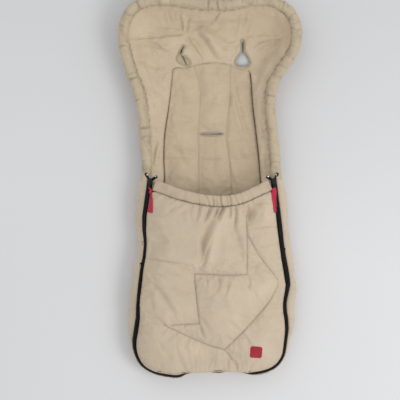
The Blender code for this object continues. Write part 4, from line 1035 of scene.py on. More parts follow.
# the hood: one lining from the base seam up to the roll, with both shoulder slots
hoodCare = {
    "hoodSlope": 1.25, "fuller": 1.15, "spacing": 0.0034, "wallSlope": 0.72, "pressure": 3.0, "slack": 0.03,
    "cap": 0.007,
    "seam": (
        (162.9, 189), (163.6, 177), (163.0, 156), (163.9, 134), (167.2, 112), (170.0, 91), (171.8, 75),
        (172.8, 69), (177, 66.6), (186, 66.8), (194, 63.5), (213, 61.5), (231, 63), (238, 66.8), (246.6, 67.6),
        (250.4, 70), (251.8, 78), (252.6, 90), (254.0, 108), (256.8, 131), (259.4, 154), (261.2, 177),
        (262.4, 189),
    ),
    "leftSlot": (
        (182.6, 44.2), (184.4, 45.2), (183.0, 49.5), (181.6, 53.2), (184.6, 54.8), (188.6, 57.8), (190.4, 61.6),
        (187.8, 64.2), (183.2, 62.8), (178.4, 60.0), (176.9, 56.6), (178.4, 53.0), (180.4, 48.6),
    ),
    "rightSlot": (
        (241.9, 38.8), (245.0, 39.2), (245.6, 49), (248.4, 55), (251.0, 61), (247.4, 65.0), (239.6, 65),
        (235.8, 60), (239.0, 54), (241.6, 49),
    ),
    "folds": (
        (((152, 26.5), (163, 30.6), (182.5, 32.0)), 0.0075, 0.0034, 1),
        (((131, 37.5), (150, 35.6), (167, 33.6), (181.5, 33.6)), 0.0058, 0.0036, -1),
        (((147, 29.5), (158, 31.6), (171, 31.2), (182, 33)), 0.0052, 0.003, -1),
        (((184, 34), (192, 44), (203, 59)), 0.009, 0.0036, 1),
        (((187, 33.5), (200, 37), (212, 38.5)), 0.005, 0.005, 1),
        (((194, 31), (204, 43), (214, 61)), 0.018, 0.0115, 1),
        (((222, 47), (231, 45.6), (240.5, 42.4)), 0.0075, 0.0038, 1),
        (((255, 52.4), (263, 47), (272, 43), (283.5, 37)), 0.0105, 0.0044, 1),
        (((247, 38.6), (262, 38.9), (281, 38.2)), 0.007, 0.0036, 1),
        (((247, 34), (253, 34.5), (261, 38.8)), 0.006, 0.0036, -1),
        (((178.5, 12), (180.8, 22), (182.5, 31)), 0.006, 0.0038, 1),
        (((190, 16), (187.4, 24), (185, 32)), 0.006, 0.0038, -1),
        (((246.5, 10), (243.8, 24), (242, 37)), 0.0085, 0.0042, -1),
        (((250.5, 20), (247, 28), (245.6, 37)), 0.004, 0.0036, 1),
        (((168, 10), (171, 19), (176, 25)), 0.005, 0.0036, -1),
        (((218.5, 11), (215, 17), (209.5, 23)), 0.006, 0.0036, 1),
        (((229, 56), (222, 60), (214, 60)), 0.005, 0.006, 1),
        (((137, 44), (148, 41), (157, 45), (169, 55)), 0.006, 0.0045, 1),
        (((149, 50), (160, 52), (175, 47)), 0.0042, 0.0055, 1),
        (((146, 62), (156, 66), (170, 62)), 0.0038, 0.006, -1),
        (((252, 52), (264, 57), (277, 60)), 0.0048, 0.006, -1),
        (((219, 30), (226, 37), (238, 39)), 0.0036, 0.0055, -1),
        (((159, 134), (154, 152), (151, 172)), 0.0056, 0.0038, 1),
        (((150, 104), (158, 111), (162, 120)), 0.0034, 0.005, 1),
        (((146, 82), (155, 90), (164, 94)), 0.0034, 0.006, -1),
        (((262, 84), (258, 93), (254, 99)), 0.0034, 0.0055, 1),
        (((258, 116), (262, 130), (264, 146)), 0.0036, 0.0045, 1),
        (((262, 150), (265, 160), (266, 172)), 0.0034, 0.0045, -1),
        (((192, 20), (196, 27), (199, 40)), 0.002, 0.006, -1),
        (((229, 19), (231, 27), (236, 36)), 0.0022, 0.0055, 1),
    ),
    "frames": 16, "swells": ((0.002, 0.075, 13), (0.0007, 0.024, 14)),
    "wrinkles": ((0.013, 0.012, 0.0005), (0.016, 0.026, 0.0007), (0.009, 0.011, 0.0005)),
    "gatherLines": (0.0112, 0.0128, 0.0144), "seamGap": 0.00015,
    "jag": (0.0007, 1.31, 1.7, 0.37), "crossRow": 74, "crossSoft": 0.015, "tuck": 0.008, "slotStep": 0.0022,
    "boldFold": 0.0045, "slotClear": 0.004, "lineGap": 0.0018, "wallReach": 0.016, "wallDrop": 0.0056,
    "wallFoot": 0.0134, "wallRise": 1.2, "fixedReach": 0.009, "rounds": 40, "steepRows": (90, 55),
    "liftDrop": 0.0062, "liftSoft": 0.006, "liftFrom": 0.012, "liftReach": 0.02, "seamDip": 0.0022,
    "seamSoft": 0.004, "slotDip": 0.003, "slotSoft": 0.006, "gatherDip": 0.0032, "gatherWide": 0.0012,
    "hold": 0.002, "freeReach": 0.012, "foldFull": 1.5, "crossUp": 0.0016, "crossReach": 0.006, "least": 0.0085,
    "plump": (0.0065, 0.007, 0.014), "slotThin": 0.0035, "slotReach": 0.005,
    "shadeTones": ((0.7, 0.0014), (0.8, 0.003), 1.2), "deepestShade": 2, "seed": 19, "seamStitch": 0.003,
    "slotStitch": 0.0048, "funnel": (0.96, -0.3), "funnelRow": 51.5, "funnelTop": 0.9, "funnelReach": 0.003,
    "funnelLong": 0.8, "underFrom": 0.012, "underReach": 0.014,
}
hoodSeam = densify(hoodCare["seam"], seamStep)


def jagged(steps):
    # the uneven line along which the roll's gathers end
    high, fine, bend, coarse = hoodCare["jag"]
    return high * np.sin(steps * fine + bend * np.sin(steps * coarse))


def crossPartAt(plan):
    # 1 above the seam that crosses behind the shoulders, 0 below it
    return np.clip((plan[:, 1] - planY(hoodCare["crossRow"])) / hoodCare["crossSoft"], 0, 1)


def aroundHole(ring, away):
    middle = ring[:-1].mean(axis=0)
    return middle + (ring - middle) * (1 + away / np.linalg.norm(ring - middle, axis=1))[:, None]


def hoodFunnel(plan, holes, rings):
    # how far the underside draws in at each slot
    care = hoodCare
    funnel = np.zeros_like(plan)
    for hole, ring, share in zip(holes, rings, care["funnel"]):
        part = np.where(plan[:, 1] > planY(care["funnelRow"]), care["funnelTop"], share)
        near = part * fade(lineReach(ring, plan)[0], care["funnelReach"])
        axis = np.linalg.svd(hole - hole.mean(axis=0), full_matrices=False)[2][0]
        away = plan - hole.mean(axis=0)
        funnel -= near[:, None] * (away - care["funnelLong"] * (away @ axis)[:, None] * axis)
    return funnel


def hoodUnder(plan, top, thickness, toSlot):
    # away from the slots the underside is the outer fabric's own
    shell = treeOf(nodes["hood_shell"])
    under = []
    for (x, y), high, thick in zip(plan, top, thickness):
        met = shell.ray_cast(Vector((x, y, -0.05)), Vector((0, 0, 1)))[0]
        under.append(high - thick if met is None else met.z + heights["ground"])
    away = np.clip((toSlot - hoodCare["underFrom"]) / hoodCare["underReach"], 0, 1)
    return np.minimum(under, top - thickness) * away + (top - thickness) * (1 - away)


def makeHood():
    care = hoodCare
    toBase = unit(rimPath[:, 3:5] - rimLine)
    outline = np.vstack([rimLine + toBase * care["tuck"], shiftedLine(hoodSeam, -care["seamGap"])[::-1]])
    holes = [closedLine(care[name], care["slotStep"]) for name in ("leftSlot", "rightSlot")]
    rings = [ringOf(hole) for hole in holes]
    jag = jagged(np.arange(len(rimLine)))
    guides = [rimLine + toBase * (away + jag)[:, None] for away in care["gatherLines"]]
    for line, depth, width, ridge in care["folds"]:
        path = densify(line, care["spacing"])
        if depth > care["boldFold"] and nearLines(rings, path).min() > care["slotClear"]:
            guides += [path, shiftedLine(path, care["lineGap"]), shiftedLine(path, -care["lineGap"])]
    guides = [line for line in guides if insideOf(outline, line).all()]
    plan, faces, border = planMesh(outline, holes, guides, care["spacing"])
    top = heightsOn(treeOf(nodes["hood_lining"]), plan, 0.2)
    toRim, rimShare = lineReach(rimLine, plan)
    rimZ = heightAt(rimPath, rimShare)
    wall = toRim < care["wallReach"]
    top[wall] = rimZ[wall] - care["wallDrop"] + (care["wallFoot"] - toRim[wall]) * care["wallRise"]
    top = relax(top, faces, (toRim < care["fixedReach"]).astype(float), care["rounds"])
    toSeam = lineReach(hoodSeam, plan)[0]
    toSlot = nearLines(rings, plan)
    toBorder = np.minimum(np.minimum(toSeam, toRim - care["tuck"]), toSlot)
    rows = [planY(y) for y in care["steepRows"]]
    steep = np.interp(plan[:, 1], rows, (care["wallSlope"], care["hoodSlope"]))
    gap = (rimZ - care["liftDrop"] - (toRim - care["wallFoot"]) * steep - top) / care["liftSoft"]
    lift = np.where(gap > 20, gap, np.log1p(np.exp(np.minimum(gap, 20))))
    top = top + care["liftSoft"] * lift * np.clip((toRim - care["liftFrom"]) / care["liftReach"], 0, 1)
    crossPart = crossPartAt(plan)
    dip = (care["seamDip"] - care["seamDip"] * crossPart) * fade(toSeam, care["seamSoft"])
    top -= dip + care["slotDip"] * fade(toSlot, care["slotSoft"])
    toGathers = toRim - (care["gatherLines"][1] + jagged(rimShare * (len(rimPath) - 1)))
    top -= care["gatherDip"] * bell(toGathers, care["gatherWide"])
    toHeld = np.minimum(np.minimum(toSeam, toSlot), np.maximum(toRim - care["tuck"], 0))
    held = bell(toHeld, care["hold"])
    plan, top = blownSheet("hoodSheet", plan, top, faces, held, care)
    free = 1 - fade(np.maximum(toBorder, 0), care["freeReach"])
    top = top + care["fuller"] * foldShape(care["folds"], plan) * np.clip(free * care["foldFull"], 0, 1)
    for lines, waves in zip(([hoodSeam], [rimLine], rings), care["wrinkles"]):
        top += wrinkles(lines, plan, *waves)
    top += swellsAt(plan, care["swells"]) * free
    top += care["crossUp"] * crossPart * fade(toSeam, care["crossReach"])
    top = np.maximum(top, care["least"])
    thickness = plumpness(care, np.maximum(toBorder, 0)) - care["slotThin"] * fade(toSlot, care["slotReach"])
    under = hoodUnder(plan, top, thickness, toSlot)
    pad = padBody("hoodPad", plan, faces, border, top, thickness, hoodFunnel(plan, holes, rings), under)
    # painted shade along the seam to the back panel (fading out above the cross seam), round the slots and
    # along the roll's gather line
    (seamShade, seamWide), (slotShade, slotWide), gatherShade = care["shadeTones"]
    tone = (seamShade - seamShade * crossPart) * bell(toSeam, seamWide) + slotShade * bell(toSlot, slotWide)
    paintPad(pad, plan, tone + gatherShade * bell(toGathers, care["gatherWide"]), care)
    settle(pad, "hood", "back", "hood_lining", "hood_lining", "hood_shell", "hood_wadding")
    lines = [shiftedLine(hoodSeam, care["seamStitch"])]
    lines += [aroundHole(ring, care["slotStitch"]) for ring in rings]
    stitches("hoodStitching", pad, lines, "back")
    return pad, holes


hoodPad, shoulderHoles = makeHood()
print("hood made")

# the back panel: three quilted columns with the crotch slot, running on under the cover
backCare = {
    "swell": 0.016, "spacing": 0.0038, "pressure": 3.5, "slack": 0.03, "cap": 0.007,
    "slot": (
        (200.6, 133.3), (205, 131.9), (212, 131.7), (219, 131.8), (223.8, 133.1), (219, 134.5), (211, 134.8),
        (205, 134.7),
    ),
    "seams": (
        (
            (193.8, 64.5), (199.3, 84), (200.2, 100), (198.5, 128), (198.6, 157), (198.6, 190), (199, 230),
            (200, 280), (202, 335),
        ),
        (
            (231, 64), (230, 100), (227.5, 121), (227, 139), (229.3, 157), (232, 190), (231, 230), (229, 280),
            (226, 335),
        ),
    ),
    "folds": (
        (((232.5, 70), (236, 90), (241, 112), (247, 133), (256, 158)), 0.0062, 0.0056, -1),
        (((238, 146), (243, 158), (250, 174)), 0.004, 0.0056, -1),
        (((228, 160), (231, 174), (236, 190)), 0.0034, 0.0046, 1),
        (((247, 140), (251, 150), (257, 166)), 0.0036, 0.004, 1),
        (((178, 78), (182, 96), (180, 116)), 0.0014, 0.007, 1),
        (((209, 70), (212, 90), (210, 112)), 0.0014, 0.0085, -1),
        (((176, 140), (181, 156), (188, 172)), 0.0018, 0.0065, 1),
        (((212, 142), (214, 156), (211, 176)), 0.0016, 0.007, 1),
        (((241, 84), (246, 96), (249, 110)), 0.0014, 0.006, -1),
    ),
    "frames": 16, "swells": ((0.0014, 0.07, 23), (0.0005, 0.022, 24)), "wrinkles": (0.012, 0.011, 0.00055),
    "swellRows": (158, 206), "seamEnd": 0.004, "slotStep": 0.0026, "rounds": 30, "up": 0.0016,
    "edgeDip": 0.0026, "crossLess": 0.0018, "edgeSoft": 0.004, "slotDip": 0.005, "slotSoft": 0.01,
    "seamDip": 0.0036, "seamSoft": 0.007, "hold": 0.0018, "freeReach": 0.012, "crossUp": 0.0016,
    "crossReach": 0.006, "least": 0.0075, "plump": (0.0062, 0.007, 0.014), "slotThin": 0.003,
    "slotReach": 0.005, "funnel": 0.3, "funnelReach": 0.003, "shadeFull": 1.3, "deepestShade": 1.4, "seed": 29,
    "shadeTones": ((0.35, 0.0018), (0.5, 0.0016), (0.2, 0.003)), "seamStitch": 0.003, "slotStitch": 0.0046,
}


def makeBack():
    care = backCare
    base = zipPath[:, 3:5]
    base = base[base[:, 1] < hoodSeam[0, 1] - care["seamEnd"]]
    outline = np.vstack([shiftedLine(hoodSeam, hoodCare["seamGap"]), base[::-1]])
    hole = closedLine(care["slot"], care["slotStep"])
    ring = ringOf(hole)
    seams = [densify(line, care["spacing"]) for line in care["seams"]]
    plan, faces, border = planMesh(outline, [hole], seams, care["spacing"])
    top = relax(heightsOn(treeOf(nodes["back_lining"]), plan, 0.2), faces, np.zeros(len(plan)), care["rounds"])
    toSeam = nearLines(seams, plan)
    toEdge = nearLines([hoodSeam, base], plan)
    toSlot = lineReach(ring, plan)[0]
    nearest = np.minimum(toSeam, np.minimum(toEdge, toSlot))
    crossPart = crossPartAt(plan)
    dip = (care["edgeDip"] - care["crossLess"] * crossPart) * fade(toEdge, care["edgeSoft"])
    top += care["up"] - dip - care["slotDip"] * fade(toSlot, care["slotSoft"])
    high, deep = (planY(y) for y in care["swellRows"])
    top += care["swell"] * np.sin(np.clip((high - plan[:, 1]) / (high - deep), 0, 2) * math.pi / 2) ** 2
    top -= care["seamDip"] * fade(toSeam, care["seamSoft"])
    plan, top = blownSheet("backSheet", plan, top, faces, bell(nearest, care["hold"]), care)
    top += foldShape(care["folds"], plan) + wrinkles([*seams, hoodSeam, ring], plan, *care["wrinkles"])
    top += swellsAt(plan, care["swells"]) * (1 - fade(nearest, care["freeReach"]))
    top += care["crossUp"] * crossPart * fade(toEdge, care["crossReach"])
    top = np.maximum(top, care["least"])
    thickness = plumpness(care, nearest) - care["slotThin"] * fade(toSlot, care["slotReach"])
    near = care["funnel"] * fade(toSlot, care["funnelReach"])
    funnel = np.column_stack([np.zeros(len(plan)), -near * (plan[:, 1] - hole[:, 1].mean())])
    pad = padBody("backPad", plan, faces, border, top, np.minimum(thickness, top), funnel)
    # painted shade along the quilting seams, the edges (less above the cross seam) and round the crotch slot
    (seamShade, seamWide), (edgeShade, edgeWide), (slotShade, slotWide) = care["shadeTones"]
    tone = seamShade * bell(toSeam, seamWide) + edgeShade * (1 - crossPart) * bell(toEdge, edgeWide)
    paintPad(pad, plan, care["shadeFull"] * tone + slotShade * bell(toSlot, slotWide), care)
    settle(pad, "back", "back", "back_lining", "back_lining", "base_wadding", "base_shell")
    lines = [*seams, shiftedLine(hoodSeam, -care["seamStitch"]), aroundHole(ring, care["slotStitch"])]
    stitches("backStitching", pad, lines, "back")
    return pad, hole


backPad, crotchHole = makeBack()
print("back made")

# the side walls and the foot end, outside the zip
sideCare = {
    "curlReach": 0.015, "curlRise": 0.028,
    "beyond": ((0, 12, 28, 48, 63, 73, 90), (0.015, 0.0155, 0.0145, 0.009, 0.0028, 0.0003, -0.0016)),
    "fuller": {
        "left": ((172, 187, 204, 218, 236, 268, 300, 318, 334, 345), (0, 7, 7.5, 3, 0, 2, 3, 6, 2, 0)),
        "right": (
            (172, 187, 204, 222, 238, 254, 268, 277, 290, 306, 322, 340), (1, 7, 6, 3, 1, 5, 2, -2, 4, 9, 5, 1),
        ),
    },
    "endRound": 0.016, "outer": 12, "curl": 9, "pucker": 0.0011, "puffs": (0.0, 0.75, 1.0, 1.0, 0.7, 0.15),
    "swells": ((0.0016, 0.09, 31), (0.0008, 0.03, 32)), "zipGap": 0.0002, "zipUp": 0.0013, "curlMost": 0.028,
    "waves": ((1, 0.0125, 1.5, 0.043), (0.7, 0.0082, 2.2, 0.061)), "rowStep": 0.013, "puckerReach": 0.016,
    "topCalm": 0.35, "topRow": 0.003, "spotStep": 0.02, "rowRise": 1.2, "thin": 0.0063, "plump": 0.008,
    "shadeFall": 2.5, "startShade": 0.6, "innerShade": 0.3, "least": 0.3, "wornSize": 0.15, "seed": 33,
}


def makeSide():
    care = sideCare
    path = resample(zipPath, seamStep)
    centres, inward, face = zipFrames(path)
    tops = centres - inward * (shownHalf(path) + care["zipGap"]) + face * care["zipUp"]
    base = np.column_stack([path[:, 3:5], np.zeros(len(path))])
    away = tops - base
    away[:, 2] = 0
    span = np.linalg.norm(away, axis=1)
    away /= span[:, None]
    tilt = path[:, 6]
    end = np.where(tilt > 0, np.arctan2(care["curlRise"], care["curlReach"] * np.tan(tilt)), math.pi / 2)
    beyond = np.interp(np.degrees(tilt), *care["beyond"]) + bySide(path, care["fuller"])
    curl = np.minimum(beyond / np.maximum(1 - np.cos(end), 0.001), care["curlMost"])
    reach = span + curl * (1 - np.cos(end))
    shoulder = tops[:, 2] - care["curlRise"] * np.sin(end)
    run = runOf(centres)
    wave = wavesAlong(run, care["waves"])
    outer, inner, seam = [], [], []
    for j in range(care["outer"] + care["curl"]):
        if j < care["outer"]:
            share = j / (care["outer"] - 1)
            angle = np.full(len(path), math.pi / 2 * share)
            plan = reach * np.sin(angle)
            high = shoulder * (1 - np.cos(angle))
            normal = upward * (reach * np.cos(angle))[:, None] - away * (shoulder * np.sin(angle))[:, None]
            at = share * 3
        else:
            share = (j - care["outer"] + 1) / care["curl"]
            angle = end * share
            plan = reach - curl * (1 - np.cos(angle))
            high = shoulder + care["curlRise"] * np.sin(angle)
            normal = -away * (care["curlRise"] * np.cos(angle))[:, None]
            normal -= upward * (care["curlReach"] * np.sin(angle))[:, None]
            at = 3 + share * 2
        normal = unit(normal)
        toTop = (5 - at) * care["rowStep"]
        calm = care["topCalm"] if toTop < care["topRow"] else 1.0
        relief = care["pucker"] * wave * math.exp(-toTop / care["puckerReach"]) * calm
        spots = np.column_stack([run, np.full(len(run), at * care["spotStep"])])
        relief = (relief + swellsAt(spots, care["swells"])) * min(1.0, at * care["rowRise"])
        point = base + away * plan[:, None] + upward * high[:, None] - normal * relief[:, None]
        point[:, 2] = np.maximum(point[:, 2], heights["ground"])
        outer.append(point)
        inner.append(point + normal * (care["thin"] + care["plump"] * np.interp(at, range(6), care["puffs"])))
        seam.append(math.exp(-(5 - at) * care["shadeFall"]))
    sections = np.stack([*outer, *inner[:0:-1]], axis=1)
    full = care["least"] + 0.7 * quarterRise(np.minimum(run, run[-1] - run) / care["endRound"])
    centre = sections.mean(axis=1, keepdims=True)
    pad = tubeBody("sidePad", centre + (sections - centre) * full[:, None, None])
    # painted shade: darkest along the top edge by the zip, some on the row at the floor and on the hidden inner
    # face
    shadeTones = [care["startShade"], *seam[1:], *[care["innerShade"]] * (len(seam) - 1)]
    paint(pad, "seam", np.tile(shadeTones, len(path)))
    paint(pad, "wornandlit", np.clip(noiseAt(pointsOf(pad), care["wornSize"], care["seed"]), 0, 1))
    settle(pad, "side", "back", "side_shell", "side_shell", "side_wadding", "side_lining")
    return pad


sidePad = makeSide()
print("sides made")

# the gathered roll round the hood
rimCare = {
    "radius": 0.013, "sides": 30, "creases": 66,
    "places": (
        (122, 49, 0.003), (128, 80, 0.0032), (138.6, 100, 0.003), (143, 4, 0.0028), (208, 3, 0.003),
        (218, 4, 0.0036), (224, 4, 0.0034), (251, 4, 0.0028), (283, 5, 0.0032), (283, 140, 0.0026),
        (297, 30, 0.0024), (291, 58, 0.0028), (270, 96, 0.0026), (142, 128, 0.0026),
    ),
    "swells": ((0.0017, 0.055, 41), (0.0008, 0.02, 42)), "step": 0.0022, "seed": 7, "margin": 0.01,
    "shallow": 0.0004, "depth": (1.6, 0.00055), "jitter": 0.0045, "deepest": 0.0028, "width": (0.0016, 0.0032),
    "lean": 0.004, "curve": 0.0012, "bank": (0.35, 2.2, 1.4), "seamTurn": (202, -22), "seamDip": 0.0022,
    "seamWide": 0.22, "taper": 0.03, "least": 0.3, "tone": 0.8, "wornSize": 0.1, "wornSeed": 43,
}


def makeRim():
    care = rimCare
    path = resample(rimPath[:, :3], care["step"])
    run = runOf(path)
    side, rise = rollFrame(path)
    angles = np.linspace(0, fullTurn, care["sides"], endpoint=False)
    around = np.tile(angles, len(run))
    runs = np.repeat(run, len(angles))
    relief = swellsAt(np.column_stack([runs, np.tile(angles * care["radius"], len(run))]), care["swells"])
    rng = np.random.default_rng(care["seed"])
    spread = np.linspace(care["margin"], run[-1] - care["margin"], care["creases"])
    places = [(at, care["shallow"] + rng.gamma(*care["depth"])) for at in spread]
    places = [(at + rng.normal(0, care["jitter"]), min(depth, care["deepest"])) for at, depth in places]
    for x, y, depth in care["places"]:
        places.append((run[np.argmin(np.linalg.norm(path[:, :2] - toPlan(x, y), axis=1))], depth))
    for at, depth in places:
        width, lean = rng.uniform(*care["width"]), rng.normal(0, care["lean"])
        facing, curve = rng.uniform(0, fullTurn), rng.normal(0, care["curve"])
        reachRound = 0.35 + 0.65 * (0.5 + 0.5 * np.cos(around - facing)) ** 1.2
        offset = runs - at - lean * np.sin(around - facing) - curve * np.cos(2 * around)
        relief = creased(relief, offset, depth * reachRound, width, *care["bank"])
    outside = np.dot(side[len(side) // 2], path[len(path) // 2] - path.mean(axis=0)) > 0
    turn = np.angle(np.exp(1j * (around - math.radians(care["seamTurn"][0 if outside else 1]))))
    relief -= care["seamDip"] * bell(turn, care["seamWide"])
    taper = np.minimum(1.0, np.minimum(run, run[-1] - run) / care["taper"])
    taper = care["least"] + 0.70 * np.sin(taper * math.pi / 2)
    radius = (care["radius"] + relief).reshape(len(run), -1) * taper[:, None]
    offsets = np.cos(angles)[None, :, None] * side[:, None] + np.sin(angles)[None, :, None] * rise[:, None]
    roll = tubeBody("rimRoll", path[:, None] + offsets * radius[:, :, None])
    # painted shade in the roll's creases and along the groove of its inner seam
    paint(roll, "seam", np.clip(-relief / care["seamDip"], 0, 1) * care["tone"])
    paint(roll, "wornandlit", np.clip(noiseAt(pointsOf(roll), care["wornSize"], care["wornSeed"]), 0, 1))
    settle(roll, "rim", "back", "hood_rim_casing", "hood_rim_casing", "hood_rim_cord")


makeRim()
print("rim made")

# the cover's top hem, gathered on its elastic
hemCare = {
    "wide": 0.0138, "thick": 0.0056, "sides": 32, "swells": ((0.0008, 0.03, 51),), "below": 0.0135,
    "step": 0.0016, "edgeAway": 0.0066, "drop": 0.005, "around": 0.01, "seed": 12, "column": 221,
    "margins": (0.006, 0.004), "drawnReach": 0.06, "depth": (0.0001, 0.0007), "drawnDepth": (0.0014, 0.0034),
    "width": (0.0012, 0.0028), "lean": 0.003, "curve": 0.001, "bank": (0.45, 2.0, 1.3),
    "apart": (0.012, 0.026), "drawnLess": (0.002, 0.0115), "endReach": 0.01, "bulge": (0.72, 0.85),
    "sideRelief": 0.6, "tone": 0.7, "shadeDepth": 0.0018, "ridgeLightHeight": 0.0015, "stitchBelow": 0.024,
}


def makeHem():
    care = hemCare
    line = resample(shiftedLine(hemTop, -care["below"]), care["step"])
    edge = underHem(zipCentres + zipInward * care["edgeAway"])[:, :2]
    path = np.column_stack([line, crownAt(edge, line) - care["drop"]])
    run = runOf(path)
    side, rise = rollFrame(path)
    angles = np.linspace(0, fullTurn, care["sides"], endpoint=False)
    runs = np.repeat(run, len(angles))
    around = np.tile(angles, len(run))
    relief = swellsAt(np.column_stack([runs, around * care["around"]]), care["swells"])
    rng = np.random.default_rng(care["seed"])
    middle = run[np.argmin(np.abs(path[:, 0] - planX(care["column"])))]
    at, margin = care["margins"]
    while at < run[-1] - margin:
        drawn = math.exp(-(((at - middle) / care["drawnReach"]) ** 2))
        depth = rng.uniform(*care["depth"]) + rng.uniform(*care["drawnDepth"]) * drawn
        width = rng.uniform(*care["width"])
        lean, facing = rng.normal(0, care["lean"]), rng.uniform(0, fullTurn)
        reachRound = 0.45 + 0.55 * (0.5 + 0.5 * np.cos(around - facing))
        offset = runs - at - lean * np.cos(around) - care["curve"] * np.sin(2 * around + facing)
        relief = creased(relief, offset, depth * reachRound, width, *care["bank"])
        at += rng.uniform(*care["apart"]) - rng.uniform(*care["drawnLess"]) * drawn
    relief = relief.reshape(len(run), -1)
    ends = np.clip(np.minimum(run, run[-1] - run) / care["endReach"], 0, 1)
    ends = np.sin(ends * math.pi / 2)[:, None] * 0.35 + 0.65
    cosines, sines = np.cos(angles)[None, :], np.sin(angles)[None, :]
    wideBulge, highBulge = care["bulge"]
    across = np.sign(cosines) * np.abs(cosines) ** wideBulge * (care["wide"] + relief * care["sideRelief"])
    over = np.sign(sines) * np.abs(sines) ** highBulge * (care["thick"] + relief) * ends
    sections = path[:, None] + side[:, None] * across[:, :, None] + rise[:, None] * over[:, :, None]
    hem = tubeBody("coverHem", sections)
    # painted shade in the gathers' creases, and a painted highlight on their ridges through the worn attribute
    paint(hem, "seam", np.clip(-relief.ravel() / care["shadeDepth"], 0, 1) * care["tone"])
    paint(hem, "wornandlit", np.clip(relief.ravel() / care["ridgeLightHeight"], 0, 1))
    settle(hem, "hem", "apron", "apron_casing", "apron_casing", "apron_elastic")
    seam = resample(shiftedLine(hemTop, -care["stitchBelow"]), seamStep)
    stitches("hemStitching", hem, [seam], "apron")
    return hem


coverHem = makeHem()
print("hem made")


# hardware starts: a box, edits by picked faces, and placing on the zip
def startBox(name, size, place):
    bpy.ops.mesh.primitive_cube_add(size=1, location=place)
    obj = bpy.context.object
    obj.name = name
    obj.scale = size
    bpy.ops.object.transform_apply(location=True, rotation=True, scale=True)
    return obj


def editFaces(obj, test, *steps):
    # runs edit-mode steps on the faces whose centre and normal pass the test
    onlyThis(obj)
    bpy.ops.object.mode_set(mode="EDIT")
    bpy.ops.mesh.select_mode(type="FACE")
    bpy.ops.mesh.select_all(action="DESELECT")
    bpy.ops.object.mode_set(mode="OBJECT")
    for polygon in obj.data.polygons:
        polygon.select = bool(test(polygon.center, polygon.normal))
    bpy.ops.object.mode_set(mode="EDIT")
    for step in steps:
        step()
    bpy.ops.object.mode_set(mode="OBJECT")


def joinInto(first, others):
    onlyThis(first)
    for obj in others:
        obj.select_set(True)
    bpy.ops.object.join()


def thicken(obj, thickness, offset=0):
    layer = obj.modifiers.new("ply", "SOLIDIFY")
    layer.thickness, layer.offset = thickness, offset
    onlyThis(obj)
    bpy.ops.object.modifier_apply(modifier="ply")


def finishEdges(obj, width, segments=2, angle=40):
    bevel = obj.modifiers.new("edges", "BEVEL")
    bevel.width, bevel.segments = width, segments
    bevel.limit_method, bevel.angle_limit = "ANGLE", math.radians(angle)
    onlyThis(obj)
    bpy.ops.object.modifier_apply(modifier="edges")
    bpy.ops.object.shade_smooth_by_angle(angle=math.radians(35))


def paintEdges(obj):
    # 1 where neighbouring faces turn sharply, for the rubbed finish: wear, and painted glints on the edges
    around = [[] for _ in obj.data.vertices]
    for polygon in obj.data.polygons:
        for k in polygon.vertices:
            around[k].append(polygon.normal.copy())
    turns = [max((a.angle(b, 0) for a in faces for b in faces), default=0) for faces in around]
    paint(obj, "edge", [min(1.0, turn / 0.8) for turn in turns])


def onFrame(points, origin, across, along, up):
    # from a piece's own frame to its place: x towards the cover, y down the zip, z off the tape
    return origin + points[:, :1] * across + points[:, 1:2] * along + points[:, 2:] * up


def setOnZip(obj, place):
    setPoints(obj, onFrame(pointsOf(obj), *place))
    outwards(obj)


def pullBy(x, y, z):
    return lambda: bpy.ops.mesh.extrude_region_move(TRANSFORM_OT_translate={"value": (x, y, z)})


def insetBy(amount):
    return lambda: bpy.ops.mesh.inset(thickness=amount, depth=0)


def resizeBy(x, y, z):
    return lambda: bpy.ops.transform.resize(value=(x, y, z))


# how far along an axis the normal of a picked face points
squarely = 0.9


def deleteFaces():
    bpy.ops.mesh.delete(type="FACE")


def isTop(c, n):
    return n.z > squarely


def isFoot(c, n):
    return n.y > squarely


def isHead(c, n):
    return n.y < -squarely


# zip tapes and their coils
zipCare = {
    "tapeWidth": 0.008, "sewnDrop": 0.0016, "tapeHalf": 0.0004, "slotHalf": 0.0007, "coilWidth": 0.0028,
    "coilBase": 0.0005, "coilHeight": 0.0023, "pitch": 0.0024, "parting": 0.01,
    "tail": {"apron": 0.005, "back": 0.0085}, "spread": {"apron": 0.015, "back": -0.0095}, "sliderAt": 0.014,
    "bend": 1.25, "tailShares": (0.12, 1.0, 9), "tailRise": 0.0046, "tailTurn": 0.6, "tapeStep": 0.0022,
    "sewnIn": 0.002, "edgeBulge": 0.0002, "ripple": ((0.00035, 0.017, 1.5, 0.06),), "toothLong": 0.00125,
    "toothHigh": 0.8, "toothOut": (-0.0006, 0, 0.0002), "toothTaper": (1, 0.72, 0.7), "headFrom": 0.0013,
    "headInset": 0.00022, "headUp": 0.0004, "toothEdge": 0.00012, "partedReach": 0.0021, "closedReach": 0.0015,
    "toothIn": 0.0006, "coilMiddle": 0.42, "rubFrom": 0.0008, "rubSpan": 0.0006,
}


def zipLine(spacing, name, tails=True):
    # centres and directions along one half of the zip, which parts above the sliders
    parting, tail, spread = zipCare["parting"], zipCare["tail"][name], zipCare["spread"][name]
    centres, inward, face = zipFrames(resample(zipPath, spacing))
    run = runOf(centres)
    parted = np.clip((parting - np.minimum(run, run[-1] - run)) / (parting + tail), 0, 1)
    halves = centres + inward * (spread * parted ** zipCare["bend"])[:, None]
    if not tails:
        return halves, inward, face
    ends = []
    rise, turn = zipCare["tailRise"], zipCare["tailTurn"]
    for row, beyond in ((0, 3), (-1, -4)):
        along = centres[row] - centres[beyond]
        along[2] = 0
        along /= np.linalg.norm(along)
        made = []
        for share in np.linspace(*zipCare["tailShares"]):
            away = (parting + tail * share) / (parting + tail)
            spot = centres[row] + along * tail * share + inward[row] * spread * away ** zipCare["bend"]
            made.append((spot + face[row] * rise * math.sin(share * math.pi * turn), inward[row], face[row]))
        ends.append(made)
    first, last = ends[0][::-1], ends[1]
    return [
        np.vstack([[m[k] for m in first], middle, [m[k] for m in last]])
        for k, middle in enumerate((halves, inward, face))
    ]


